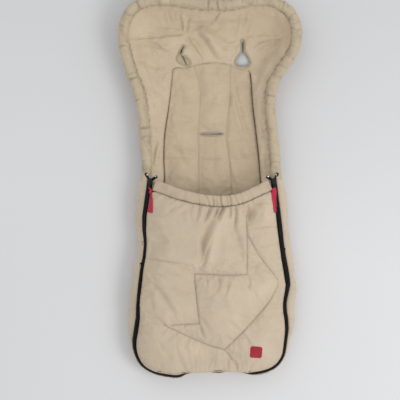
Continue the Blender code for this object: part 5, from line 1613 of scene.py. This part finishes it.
def makeTape(name, sign):
    care = zipCare
    centres, inward, face = zipLine(zipCare["tapeStep"], name)
    run = runOf(centres)
    near, far = sign * care["slotHalf"], sign * care["tapeWidth"]
    half, sewn = care["tapeHalf"], care["sewnDrop"]
    turned = unit(np.cross(np.gradient(centres, axis=0), face))
    turned *= np.sign(np.einsum("ij,ij->i", turned, inward))[:, None]
    step, bulge = sign * care["sewnIn"], sign * care["edgeBulge"]
    shape = [(near, -half), (near + step, -half), (far, -half - sewn), (far + bulge, -sewn)]
    shape += [(far, half - sewn), (near + step, half), (near, half), (near - bulge, 0)]
    ripple = wavesAlong(run, care["ripple"])
    lifts = [ripple * abs(across) / care["tapeWidth"] + high for across, high in shape]
    sections = [centres + turned * p[0] + face * lift[:, None] for p, lift in zip(shape, lifts)]
    tape = tubeBody(f"{name}ZipTape", np.stack(sections, axis=1))
    strip = np.zeros((len(run), len(shape), 3))
    strip[:, :, 0] = [p[0] for p in shape]
    strip[:, :, 1] = run[:, None]
    paintStrip(tape, strip)
    settle(tape, "zipTape", name, f"{name}_zip_tape")


def makeTooth():
    # one turn of the coil: a short bar with a raised, wider head
    care = zipCare
    size = (care["coilWidth"], care["toothLong"], care["coilHeight"] * care["toothHigh"])
    tooth = startBox("tooth", size, (0, 0, 0))
    editFaces(tooth, lambda c, n: n.x < -squarely, pullBy(*care["toothOut"]), resizeBy(*care["toothTaper"]))
    steps = (insetBy(care["headInset"]), pullBy(0, 0, care["headUp"]))
    editFaces(tooth, lambda c, n: n.z > squarely and c.x > -care["headFrom"], *steps)
    finishEdges(tooth, care["toothEdge"], 1, 50)
    points = pointsOf(tooth)
    faces = [tuple(p.vertices) for p in tooth.data.polygons]
    bpy.data.objects.remove(tooth)
    return points, faces


def makeCoil(name, sign):
    care = zipCare
    centres, inward, face = zipLine(care["pitch"] / 2, name, False)
    along = unit(np.gradient(centres, axis=0))
    run = runOf(centres)
    points, faces = [], []
    for k in range(0 if sign > 0 else 1, len(centres), 2):
        parted = min(run[k], run[-1] - run[k]) < care["sliderAt"]
        reach = care["partedReach"] if parted else care["closedReach"]
        high = care["coilBase"] + care["coilHeight"] * care["coilMiddle"]
        middle = centres[k] + inward[k] * sign * (reach + care["toothIn"]) + face[k] * high
        start = len(points) * len(toothPoints)
        points.append(onFrame(toothPoints, middle, sign * inward[k], along[k], face[k]))
        faces += [tuple(start + i for i in f) for f in toothFaces]
    coil = meshObject(f"{name}ZipCoil", np.vstack(points), faces)
    outwards(coil)
    rubbed = np.clip((toothPoints[:, 2] - care["rubFrom"]) / care["rubSpan"], 0, 1)
    paint(coil, "edge", np.tile(rubbed, len(points)))
    settle(coil, "tooth", name, f"{name}_zip_coil")


stopCare = {
    "size": (0.0034, 0.0042, 0.0026), "aside": 0.0023, "up": 0.0017, "inset": 0.0005, "lip": 0.0005,
    "lipInset": 0.0004, "dent": 0.0003, "dentFrom": 0.003, "edge": 0.00025, "beyond": 0.003,
}


def makeStops(name, sign):
    # a crimped metal stop past each end of the coil
    care = stopCare
    centres, inward, face = zipLine(zipCare["tapeStep"], name)
    for side, k, beyond in (("left", 8, 0), ("right", -9, -1)):
        way = centres[beyond] - centres[k]
        way = way / np.linalg.norm(way)
        across = np.cross(way, face[k])
        across *= np.sign(across @ inward[k]) / np.linalg.norm(across)
        stop = startBox(f"{name}Stop{side.title()}", care["size"], (sign * care["aside"], 0, care["up"]))
        editFaces(stop, isTop, insetBy(care["inset"]), pullBy(0, 0, care["lip"]))
        steps = (insetBy(care["lipInset"]), pullBy(0, 0, -care["dent"]))
        editFaces(stop, lambda c, n: isTop(c, n) and c.z > care["dentFrom"], *steps)
        finishEdges(stop, care["edge"])
        paintEdges(stop)
        setOnZip(stop, (centres[k] + way * care["beyond"], across, -way, face[k]))
        settle(stop, "stop", name, f"{name}_stop_{side}")


toothPoints, toothFaces = makeTooth()
for name, sign in (("apron", 1), ("back", -1)):
    makeTape(name, sign)
    makeCoil(name, sign)
    makeStops(name, sign)
print("zip made")

# sliders, pulls and ribbons
sliderCare = {
    "wide": 0.0102, "long": 0.015, "plate": 0.0012, "low": 0.0034, "bridgeLong": 0.009, "bridgeHigh": 0.0038,
}
pullCare = {
    "wide": 0.007, "long": 0.02, "thick": 0.0016, "rail": 0.0014, "axis": 0.0054,
    "rows": (-0.0008, 0.0008, 0.0065, 0.0082, 0.0128), "waist": (1.0, 1.0, 1.0, 0.86, 0.86, 1.0, 0.92),
}
ribbonCare = {
    "long": 0.064, "neck": 0.0052, "ply": 0.0011,
    "widths": {
        "left": (
            (0, 0.008, 0.015, 0.021, 0.032, 0.05, 0.064), (0.005, 0.01, 0.006, 0.005, 0.0085, 0.0115, 0.014),
        ),
        "right": ((0, 0.006, 0.018, 0.04, 0.064), (0.015, 0.0155, 0.0132, 0.0096, 0.0068)),
    },
    "drift": {
        "left": ((0, 0.006, 0.02, 0.04, 0.064), (0, 0.0052, 0.0078, 0.0092, 0.009)),
        "right": ((0, 0.006, 0.03, 0.064), (0.002, 0.004, 0.0062, 0.0078)),
    },
    "flare": {"left": 0.0085, "right": 0.002}, "flareFrom": 0.001, "tuck": 0.0016, "cells": (46, 12),
    "wave": (0.0009, 9.5), "ripple": (0.0006, 21), "sway": (0.0003, 17), "phase": {"left": 0.6, "right": 2.0},
    "slant": 0.0012, "cup": 0.0016, "cupLess": 0.8, "twist": (0.0007, 5, 7), "lift": (0.0012, 0.012),
    "clear": 0.0013, "restFrom": 0.004, "plies": 1.5, "fold": (0.96, 0.0034, 0.0042, 0.0012),
    "knot": ((0.5, 0.004, 0.0105), (-0.6, 0.0038, 0.008), (0.1, 0.0036, 0.0125)),
}


def zipPlace(side):
    # the slider's place on the straight stretch, as the solids have it
    top, low = (np.array([*toPlan(*zipPlan[side + end][:2]), heights["zip"]]) for end in ("Top", "Low"))
    along = (low - top) / np.linalg.norm(low - top)
    across = np.array([-along[1], along[0], 0.0]) * (-1 if side == "right" else 1)
    return top + along * zipCare["sliderAt"], across, along, upward


def makeBridge(low):
    # a small arch, pulled round step by step, that holds the pull
    reach, rise = sliderCare["bridgeLong"] / 2 - 0.0007, sliderCare["bridgeHigh"] - 0.0014
    bridge = startBox("bridge", (0.0017, 0.0014, 0.0008), (0, -reach, low + 0.0003))
    spots = [(-reach * math.cos(a), rise * math.sin(a)) for a in np.linspace(0, math.pi, 9)]
    for (y0, z0), (y1, z1) in zip(spots, spots[1:]):
        turn = math.atan2(z1 - z0, y1 - y0)

        def isEnd(c, n):
            if y0 == spots[0][0]:
                return n.z > 0.9 and c.z > low
            ahead = abs(n.x) < 0.1 and n.y * math.cos(turn) + n.z * math.sin(turn) > 0.3
            return ahead and abs(c.y - y0) < 2e-4 and abs(c.z - low - 0.0007 - z0) < 3e-4

        editFaces(bridge, isEnd, pullBy(0, y1 - y0, z1 - z0))
    return bridge


def makeSlider(side):
    care = sliderCare
    wide, long, low, plate = care["wide"], care["long"], care["low"], care["plate"]
    top = startBox(f"{side}Slider", (wide, long, plate), (0, 0, low + plate / 2))
    editFaces(top, isFoot, pullBy(0, 0.0006, 0), resizeBy(0.80, 1, 1))
    editFaces(top, isHead, pullBy(0, -0.0010, 0), resizeBy(0.55, 1, 0.8))
    editFaces(top, lambda c, n: n.z > 0.9 and abs(c.y) < 0.004, insetBy(0.0012), pullBy(0, 0, 0.0005))
    parts = []
    for sign in (-1, 1):
        flange = startBox("flange", (plate, long * 0.96, 0.0026), (sign * (wide - plate) / 2, 0, low - 0.0012))
        editFaces(flange, isFoot, pullBy(-sign * 0.0008, 0.0006, 0))
        parts.append(flange)
    under = startBox("underPlate", (0.0050, long * 0.92, plate), (0.0026, 0, -0.0017))
    editFaces(under, isHead, pullBy(0, -0.0006, 0), resizeBy(0.7, 1, 0.8))
    joinInto(top, [*parts, under, makeBridge(low + plate)])
    finishEdges(top, 0.0003)
    paintEdges(top)
    setOnZip(top, zipPlace(side))
    settle(top, "metal", f"slider_{side}", f"slider_{side}")


def makePull(side):
    # a flat frame: a window for the bridge and one for the ribbon
    care = pullCare
    bpy.ops.mesh.primitive_grid_add(x_subdivisions=4, y_subdivisions=6, size=1, location=(0, 0, 0))
    pull = bpy.context.object
    pull.name = f"{side}Pull"
    half, rail, long = care["wide"] / 2, care["rail"], care["long"]
    xs = [-half, -half + rail, 0, half - rail, half]
    ys = [*care["rows"], long - rail, long]
    for vertex in pull.data.vertices:
        column, row = round((vertex.co.x + 0.5) * 4), round((vertex.co.y + 0.5) * 6)
        vertex.co = (xs[column] * care["waist"][row], ys[row], 0)
    for low, high in ((0.001, 0.0064), (0.0129, long - rail)):
        editFaces(pull, lambda c, n: abs(c.x) < half - rail and low < c.y < high, deleteFaces)
    thicken(pull, care["thick"])
    finishEdges(pull, 0.00045)
    paintEdges(pull)
    setPoints(pull, pointsOf(pull) + (0, 0, care["axis"]))
    setOnZip(pull, zipPlace(side))
    settle(pull, "metal", f"pull_{side}", f"pull_{side}")


def cellStarts(rows, columns):
    return [i * (columns + 1) + j for i in range(rows) for j in range(columns)]


def liftOver(spot, clear):
    # rests on the cover where it reaches over it
    for tree in coverTrees:
        met = metFromAbove(tree, spot[0], spot[1])[0]
        if met is not None and met.z > 0.04:
            spot[2] = max(spot[2], met.z + clear)
    return spot


def makeKnot(start, place):
    # three flattened loops
    loops = []
    for lean, size, away in ribbonCare["knot"]:
        bpy.ops.mesh.primitive_torus_add(
            major_radius=size, minor_radius=0.0017, major_segments=22, minor_segments=10
        )
        loop = bpy.context.object
        spots = pointsOf(loop)
        turn, tip = math.cos(lean), math.sin(lean)
        x, y, z = spots[:, 0], spots[:, 2] * 1.7, spots[:, 1] * 0.72
        flatLoop = np.column_stack([x * turn - y * tip, x * tip + y * turn, z])
        flatLoop += np.array([0.0062, start + away, pullCare["axis"] + 0.0016])
        placed = onFrame(flatLoop, *place)
        middle = placed.mean(axis=0)
        placed[:, 2] += liftOver(middle.copy(), 0.0022)[2] - middle[2]
        setPoints(loop, placed)
        loop.data.shade_smooth()
        paintStrip(loop, flatLoop)
        loops.append(loop)
    return loops


def makeRibbon(side):
    # woven ribbon folded through the pull; the left one is knotted at its top
    care = ribbonCare
    origin, across, along, up = place = zipPlace(side)
    start = pullCare["long"] - pullCare["rail"] - care["tuck"]
    steps, cells = care["cells"]
    (waveHigh, waveTurns), (rippleHigh, rippleTurns) = care["wave"], care["ripple"]
    sway, swayTurns = care["sway"]
    twist, acrossTurns, alongTurns = care["twist"]
    lift, liftRun = care["lift"]
    points, strip = [], []
    for i in range(steps + 1):
        share = i / steps
        run = share * care["long"]
        flare = 1 - math.exp(-max(0.0, run - care["flareFrom"]) / care["flare"][side])
        wide = care["neck"] + (np.interp(run, *care["widths"][side]) - care["neck"]) * flare
        wave = waveHigh * math.sin(share * waveTurns + care["phase"][side])
        wave += rippleHigh * math.sin(share * rippleTurns)
        drift = np.interp(run, *care["drift"][side]) + sway * math.sin(share * swayTurns)
        slant = care["slant"] * share if i == steps else 0
        for t in (j / cells - 0.5 for j in range(cells + 1)):
            cup = care["cup"] * (1 - flare * care["cupLess"]) * math.cos(t * math.pi)
            cup += twist * math.sin(t * acrossTurns + share * alongTurns)
            z = pullCare["axis"] + wave + cup + lift * min(1.0, run / liftRun)
            spot = origin + across * (t * wide + drift) + along * (start + run + slant * t) + up * z
            points.append(liftOver(spot, care["clear"]) if run > care["restFrom"] else spot)
            strip.append((t * wide, run, 0.0))
    faces = [(a, a + 1, a + cells + 2, a + cells + 1) for a in cellStarts(steps, cells)]
    ribbon = meshObject(f"{side}Ribbon", points, faces)
    paintStrip(ribbon, strip)
    thicken(ribbon, care["ply"] * care["plies"])
    if side == "left":
        joinInto(ribbon, makeKnot(start, place))
    else:
        # the fold round the pull's end bar
        share, long, high, edge = care["fold"]
        middle = (0, start + edge, pullCare["axis"])
        fold = startBox("ribbonFold", (care["neck"] * share, long, high), middle)
        finishEdges(fold, edge, 3)
        setOnZip(fold, place)
        joinInto(ribbon, [fold])
    outwards(ribbon)
    settle(ribbon, "ribbon", f"pull_{side}", f"ribbon_{side}")


coverTrees = [treeOf(coverPad), treeOf(coverHem)]
for side in ("left", "right"):
    makeSlider(side)
    makePull(side)
    makeRibbon(side)
print("sliders and ribbons made")

# plain square patch sewn near the foot
patchCare = {
    "size": 0.0312, "turn": math.radians(-4), "cells": 26, "thick": 0.001, "corner": 0.0062, "dome": 0.0009,
    "groove": 0.0004, "grooveAt": 0.86, "grooveWide": 0.03, "clear": 0.0004, "up": 0.0003, "ease": 0.4,
}


def makePatch():
    care = patchCare
    centre = np.array(toPlan(*coverCare["patch"]))
    cosine, sine = math.cos(care["turn"]), math.sin(care["turn"])
    turn = np.array([[cosine, -sine], [sine, cosine]])
    half, cells = care["size"] / 2, care["cells"]
    inner = half - care["corner"]
    points, strip = [], []
    for i in range(cells + 1):
        for j in range(cells + 1):
            u, v = (2 * k / cells - 1 for k in (i, j))
            x, y = u * half, v * half
            if abs(x) > inner and abs(y) > inner:
                over = np.array([abs(x) - inner, abs(y) - inner])
                scale = max(over) / max(np.linalg.norm(over), 1e-9)
                x, y = math.copysign(inner + over[0] * scale, x), math.copysign(inner + over[1] * scale, y)
            spot = centre + turn @ np.array([x, y])
            high = metFromAbove(coverTrees[0], *spot)[0].z
            rim = max(abs(u), abs(v))
            pad = care["dome"] * (1 - rim**6)
            pad -= care["groove"] * math.exp(-(((rim - care["grooveAt"]) / care["grooveWide"]) ** 2))
            points.append((*spot, high + care["clear"] + pad + care["up"]))
            strip.append((x, y, 0.0))
    points = np.array(points)
    high = points[:, 2].reshape(cells + 1, cells + 1)
    for _ in range(6):
        middle = (high[:-2, 1:-1] + high[2:, 1:-1] + high[1:-1, :-2] + high[1:-1, 2:]) / 4
        high[1:-1, 1:-1] += care["ease"] * (middle - high[1:-1, 1:-1])
    points[:, 2] = high.ravel()
    faces = [(a, a + cells + 1, a + cells + 2, a + 1) for a in cellStarts(cells, cells)]
    patch = meshObject("redPatch", points, faces)
    paintStrip(patch, strip)
    thicken(patch, care["thick"], -1)
    outwards(patch)
    settle(patch, "patch", "apron", "red_patch")
    inner = half * care["grooveAt"]
    square = np.array([(-inner, -inner), (inner, -inner), (inner, inner), (-inner, inner), (-inner, -inner)])
    stitches("patchStitching", patch, [centre + square @ turn.T], "apron", "patchThread", "patch")


makePatch()
print("patch made")

# bound edges of the three slots: a section of places away from the edge and heights
bindingCare = {
    "flat": ((1, -0.001), (0.98, 0.0006), (0.62, 0.0016)),
    "turned": (
        (0.0002, 0.0018), (-0.0009, 0.001), (-0.0013, -0.0004), (-0.0012, -0.003), (-0.001, -0.0066),
        (-0.0001, -0.0066), (-0.0002, -0.0014),
    ),
    "shadeTones": (1.0, 0.5, 0, 0, 0, 0.4, 1, 1, 1, 1), "step": 0.0016, "feel": 0.002, "lowest": 0.0003,
    "ripples": ((0.14, 0.0053), (0.08, 0.0031)),
}


def makeBinding(name, node, pad, hole, wide, shade):
    care = bindingCare
    line = resample(ringOf(hole), care["step"])[:-1]
    along = unit(np.roll(line, -1, axis=0) - np.roll(line, 1, axis=0))
    out = np.column_stack([along[:, 1], -along[:, 0]])
    if np.einsum("ij,ij->i", out, line - line.mean(axis=0)).sum() < 0:
        out = -out
    high = heightsOn(treeOf(pad), line + out * care["feel"], 0.3)
    for _ in range(6):
        high = (np.roll(high, 1) + high + np.roll(high, -1)) / 3
    run = np.arange(len(line)) * care["step"]
    ripple = 1
    for size, pitch in care["ripples"]:
        ripple = ripple + size * np.sin(fullTurn * run / pitch)
    shape = [(wide * share, rise) for share, rise in care["flat"]] + list(care["turned"])
    rings = []
    for away, rise in shape:
        place = line + out * (away * ripple)[:, None]
        rings.append(np.column_stack([place, np.maximum(high + rise * ripple, care["lowest"])]))
    binding = tubeBody(name, np.stack(rings, axis=1), closed=True)
    # painted shade across the binding's section, scaled by shade for each slot
    paint(binding, "seam", shade * np.tile(care["shadeTones"], len(line)))
    paint(binding, "wornandlit", np.zeros(len(line) * len(shape)))
    settle(binding, "binding", "back", node)


makeBinding("leftSlotBinding", "left_slot_binding", hoodPad, shoulderHoles[0], 0.0030, 1.0)
makeBinding("rightSlotBinding", "right_slot_binding", hoodPad, shoulderHoles[1], 0.0026, 0.5)
makeBinding("crotchSlotBinding", "crotch_slot_binding", backPad, crotchHole, 0.0020, 0.1)
print("slots bound")

# floor, backdrop, light and camera
studio = {
    "floor": (0.698, 0.7, 0.706), "world": 0.765, "height": 4.0, "view": (200, 200), "frame": 1.0475,
    "lamps": (("softKey", (1.8, -0.85, 2.2), 1.3, 28.0), ("softFill", (-0.9, 1.9, 2.1), 2.0, 6.5)),
}


def makeFloor():
    bpy.ops.mesh.primitive_plane_add(size=6, location=(0, 0, -0.0005))
    floor = bpy.context.object
    floor.name = "paleFloor"
    bpy.ops.object.transform_apply(location=True, rotation=True, scale=True)
    finish, tree, shader, place = newFinish("paleFloorPaper", rough=0.85, shine=0.1)
    pale, light = (tinted(studio["floor"], share) for share in (0.985, 1.015))
    shade = mixColour(tree, noiseNode(tree, place, 2.0), pale, light)
    # painted light falloff: the floor's colour is brighter towards the lower left and darker towards the top
    # and right
    parts = apartNode(tree, place)
    litShare = addScaled(tree, parts["X"], -0.35, addScaled(tree, parts["Y"], -1.5, 0.83))
    share = mathNode(tree, "MINIMUM", mathNode(tree, "MAXIMUM", litShare, 0.0), 1.0)
    paintedFalloff = mixColour(tree, share, (0.90, 0.90, 0.90, 1), (1, 1, 1, 1))
    give(tree, shader.inputs["Base Color"], mixColour(tree, 1.0, shade, paintedFalloff, "MULTIPLY"))
    floor.data.materials.append(finish)


def makeStudio():
    scene = bpy.context.scene
    makeFloor()
    scene.world = bpy.data.worlds.new("softRoom")
    scene.world.use_nodes = True
    room = scene.world.node_tree.nodes["Background"].inputs
    room["Color"].default_value = (0.985, 0.99, 1.0, 1)
    room["Strength"].default_value = studio["world"]
    for name, place, size, power in studio["lamps"]:
        data = bpy.data.lights.new(name, "AREA")
        data.shape, data.size, data.energy = "SQUARE", size, power
        lamp = bpy.data.objects.new(name, data)
        lamp.location = place
        lamp.rotation_euler = (-Vector(place)).to_track_quat("-Z", "Y").to_euler()
        scene.collection.objects.link(lamp)
    data = bpy.data.cameras.new("camera")
    data.sensor_fit = "HORIZONTAL"
    data.angle = 2 * math.atan(studio["frame"] / 2 / (studio["height"] - 0.055))
    camera = bpy.data.objects.new("camera", data)
    camera.location = (*toPlan(*studio["view"]), studio["height"])
    scene.collection.objects.link(camera)
    scene.camera = camera
    scene.view_settings.view_transform = "Standard"


makeStudio()
print("studio made")
